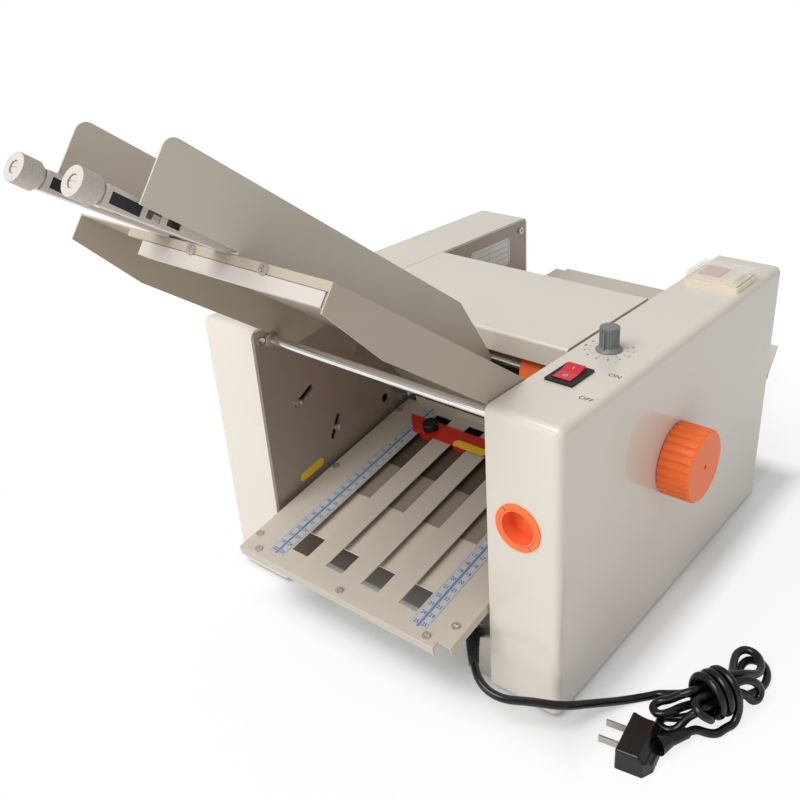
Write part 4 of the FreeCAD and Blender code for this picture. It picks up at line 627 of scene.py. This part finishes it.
def make_bar_collars():
    """Dark rings where the chrome bar meets the two walls."""
    bm = bmesh.new()
    outline = ((bar_r, 0.0), (collar_r, 0.0), (collar_r, collar_length * collar_edge_share),
               (collar_r * collar_end_share, collar_length), (bar_r, collar_length))
    for side in (-1, 1):
        place = Matrix.Translation(shifted(side * wall_face, *bar_place)) @ Matrix.Rotation(
            math.radians(-side * 90), 4, "Y")
        add_turned(bm, outline, place)
    mesh_piece("bar_collars", bm, wall_paint, "machine_frame")


def make_guide_blocks():
    """Black blocks that show in the windows of the two arms."""
    (t0, n0), (t1, n1) = arm_window
    for name, body, side in (("left_block", "left_guide", -1), ("right_block", "right_guide", 1)):
        bm = bmesh.new()
        add_block(bm, (side * arm_x - arm_half, t0, n0), (side * arm_x + arm_half, t1, n1), table_frame)
        soften(mesh_piece(name, bm, black_plastic, body), edge_width)


def make_boot(points):
    """Tapered, ribbed strain relief round the cord's first bend."""
    first, corner, after = points[:3]
    last = (corner + after) / 2
    bm = bmesh.new()
    rings = []
    for k in range(boot_rings + 1):
        share = k / boot_rings
        t = share * boot_share
        here = first * (1 - t) ** 2 + corner * 2 * t * (1 - t) + last * t * t
        way = ((corner - first) * (1 - t) + (last - corner) * t).normalized()
        turn = way.to_track_quat("Z", "Y").to_matrix()
        r = boot_r + (boot_tip_r - boot_r) * share
        if k % boot_groove_every == boot_groove_at:
            r -= boot_groove
        rings.append([bm.verts.new(here + turn @ Vector((r * math.cos(a), r * math.sin(a), 0.0)))
                      for a in (2 * math.pi * j / round_steps for j in range(round_steps))])
    for low, high in zip(rings, rings[1:]):
        for j in range(round_steps):
            n = (j + 1) % round_steps
            bm.faces.new((low[j], low[n], high[n], high[j]))
    bm.faces.new(rings[0][::-1])
    bm.faces.new(rings[-1])
    boot = mesh_piece("strain_relief", bm, black_rubber, "machine_frame")
    for face in boot.data.polygons:
        face.use_smooth = len(face.vertices) == 4
    return boot


def cord_points():
    """The cord's points from the gland to the plug, with the hank's in between."""
    lead = [shifted(*p) for p in lead_route]
    hank = Matrix.Translation(shifted(*hank_place)) @ Matrix.Rotation(math.radians(hank_heading), 4, "Z")
    start = lead[-1]
    way = (lead[-1] - lead[-2]).normalized()
    places = list(hank_way_in) + hank_strands() + list(way_to_turns) + waist_points() + list(way_to_plug)
    finish = Vector(hank_end)
    inner = [start + way * cord_d] + [hank @ Vector(p) for p in places]
    inner.append(hank @ (finish + Vector((cord_d, 0.0, 0.0))))
    pushed = []
    for before, here, after in zip([start] + inner, inner, inner[1:] + [hank @ finish]):
        run = (after - before).normalized()
        push = (here * 2 - before - after) * cord_push
        push -= run * push.dot(run)
        push.z = max(push.z, strand_rest - here.z)
        pushed.append(here + push)
    return lead + pushed + [hank @ finish]


def hank_strands():
    """Straight strands through the waist, with the loops that join them."""
    middle = strand_rest + turn_r
    near, far = strand_straight
    route = []
    side = -1
    for k, angle in enumerate(strand_angles):
        across = strand_ring_r * math.cos(math.radians(angle))
        up = middle + strand_ring_r * math.sin(math.radians(angle))
        if k:
            route.append((side * waist_mouth, across * mouth_spread, up))
        route += [(side * x, across, up) for x in (far, near)]
        side = -side
        route += [(side * x, across, up) for x in (near, far)]
        if k < len(loops):
            route.append((side * waist_mouth, across * mouth_spread, up))
            route += [(side * x, y, z) for x, y, z in loops[k]]
    return route


def waist_points():
    """Turns about the waist, from below, up the left side."""
    points = []
    for k in range(turn_steps // 4, turn_steps * waist_turns + 1):
        a = math.radians(360 * k / turn_steps)
        points.append((first_turn_at + turn_pitch * k / turn_steps, -turn_r * math.cos(a),
                       strand_rest + turn_r - turn_r * math.sin(a)))
    return points


def make_cord():
    """Lead and hank as one smooth cord."""
    points = cord_points()
    curve = bpy.data.curves.new("power_cord", "CURVE")
    curve.dimensions = "3D"
    spline = curve.splines.new("NURBS")
    spline.points.add(len(points) - 1)
    for place, point in zip(spline.points, points):
        place.co = (*point, 1.0)
    spline.order_u = cord_order
    spline.use_endpoint_u = True
    spline.resolution_u = cord_steps
    curve.bevel_depth = cord_d / 2
    curve.bevel_resolution = cord_sides
    curve.use_fill_caps = True
    curve.materials.append(cord_jacket)
    cord = bpy.data.objects.new("power_cord", curve)
    bpy.context.scene.collection.objects.link(cord)
    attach(cord, "machine_frame")
    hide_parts("cord_lead", "cord_hank")
    return cord, points


def make_camera():
    """Camera by its turn, tilt and roll, with its lens shifted."""
    data = bpy.data.cameras.new("camera")
    data.lens = camera_lens
    data.sensor_width = camera_sensor
    data.shift_x, data.shift_y = camera_shift
    camera = bpy.data.objects.new("camera", data)
    turn, tilt, roll = (math.radians(v) for v in (camera_turn, camera_tilt, camera_roll))
    back = Vector((math.sin(turn) * math.cos(tilt), -math.cos(turn) * math.cos(tilt), math.sin(tilt)))
    right = (-back).cross(Vector((0, 0, 1))).normalized()
    up = right.cross(-back)
    right_rolled = right * math.cos(roll) + up * math.sin(roll)
    up_rolled = up * math.cos(roll) - right * math.sin(roll)
    turned = Matrix((right_rolled, up_rolled, back)).transposed().to_4x4()
    camera.matrix_world = Matrix.Translation(camera_place) @ turned
    bpy.context.scene.collection.objects.link(camera)
    bpy.context.scene.camera = camera


def make_lamp(name, place, size, power):
    """Round soft light that looks at the machine."""
    data = bpy.data.lights.new(name, "AREA")
    data.shape = "DISK"
    data.size = size
    data.energy = power
    lamp = bpy.data.objects.new(name, data)
    lamp.location = place
    lamp.rotation_mode = "QUATERNION"
    lamp.rotation_quaternion = (Vector(light_aim) - Vector(place)).to_track_quat("-Z", "Y")
    bpy.context.scene.collection.objects.link(lamp)


def add_math(nodes, links, operation, first, second=None):
    """Math node on sockets or plain numbers."""
    node = nodes.new("ShaderNodeMath")
    node.operation = operation
    for place, value in zip(node.inputs, (first, second)):
        if isinstance(value, bpy.types.NodeSocket):
            links.new(value, place)
        elif value is not None:
            place.default_value = value
    return node.outputs["Value"]


def add_range(nodes, links, value, source, target):
    """Map range node from one pair of values to another."""
    node = nodes.new("ShaderNodeMapRange")
    node.inputs["From Min"].default_value, node.inputs["From Max"].default_value = source
    node.inputs["To Min"].default_value, node.inputs["To Max"].default_value = target
    links.new(value, node.inputs["Value"])
    return node.outputs["Result"]


def make_sky():
    """White behind everything, with a softer light on the machine."""
    world = bpy.data.worlds.new("sky")
    world.use_nodes = True
    nodes, links = world.node_tree.nodes, world.node_tree.links
    seen = nodes.new("ShaderNodeLightPath")
    either = add_math(nodes, links, "MAXIMUM", seen.outputs["Is Camera Ray"],
                      seen.outputs["Is Transmission Ray"])
    level = add_range(nodes, links, either, (0.0, 1.0), (sky_strength, 1.0))
    links.new(level, nodes["Background"].inputs["Strength"])
    nodes["Background"].inputs["Color"].default_value = (1.0, 1.0, 1.0, 1.0)
    bpy.context.scene.world = world


def floor_material():
    """Pale matt floor that fades to white further out and stays dark under the machine."""
    material = bpy.data.materials.new("floor")
    material.use_nodes = True
    nodes, links = material.node_tree.nodes, material.node_tree.links
    shader = nodes["Principled BSDF"]
    shader.inputs["Base Color"].default_value = (floor_grey, floor_grey, floor_grey, 1.0)
    shader.inputs["Roughness"].default_value = floor_rough
    shader.inputs["Specular IOR Level"].default_value = floor_gloss
    glow = nodes.new("ShaderNodeEmission")
    glow.inputs["Strength"].default_value = 1.0
    seen = nodes.new("ShaderNodeLightPath")
    place = nodes.new("ShaderNodeNewGeometry")
    far = nodes.new("ShaderNodeVectorMath")
    far.operation = "LENGTH"
    links.new(place.outputs["Position"], far.inputs[0])
    fade = add_range(nodes, links, far.outputs["Value"], floor_fade, (floor_share, 1.0))
    spot = nodes.new("ShaderNodeSeparateXYZ")
    links.new(place.outputs["Position"], spot.inputs["Vector"])
    reaches = []
    for axis, half in zip("XY", under_half):
        size = add_math(nodes, links, "ABSOLUTE", spot.outputs[axis])
        reaches.append(add_math(nodes, links, "DIVIDE", size, half))
    reach = add_math(nodes, links, "MAXIMUM", *reaches)
    under = add_range(nodes, links, reach, under_fade, (under_share, 1.0))
    near = add_math(nodes, links, "MULTIPLY", fade, under)
    share = add_math(nodes, links, "MULTIPLY", seen.outputs["Is Camera Ray"], near)
    mixed = nodes.new("ShaderNodeMixShader")
    links.new(share, mixed.inputs["Fac"])
    links.new(shader.outputs["BSDF"], mixed.inputs[1])
    links.new(glow.outputs["Emission"], mixed.inputs[2])
    links.new(mixed.outputs["Shader"], nodes["Material Output"].inputs["Surface"])
    return material


def make_floor():
    """Large floor on the stage."""
    bm = bmesh.new()
    bmesh.ops.create_grid(bm, x_segments=1, y_segments=1, size=floor_size / 2)
    mesh = bpy.data.meshes.new("floor")
    bm.to_mesh(mesh)
    bm.free()
    mesh.materials.append(floor_material())
    floor = bpy.data.objects.new("floor", mesh)
    bpy.context.scene.collection.objects.link(floor)


def make_surroundings():
    """White floor and sky, soft light."""
    make_sky()
    make_floor()
    make_lamp("key", key_place, key_size, key_power)
    make_lamp("fill", fill_place, fill_size, fill_power)
    bpy.context.scene.view_settings.view_transform = "Standard"


make_camera()
make_surroundings()
dress_nodes()
make_ruler_marks()
make_lower_strips()
make_stickers()
make_label_plate()
make_top_marks()
make_rocker_marks()
make_counter_card()
make_port_gaps()
make_bar_collars()
make_guide_blocks()
cord, cord_line = make_cord()
boot = make_boot(cord_line)
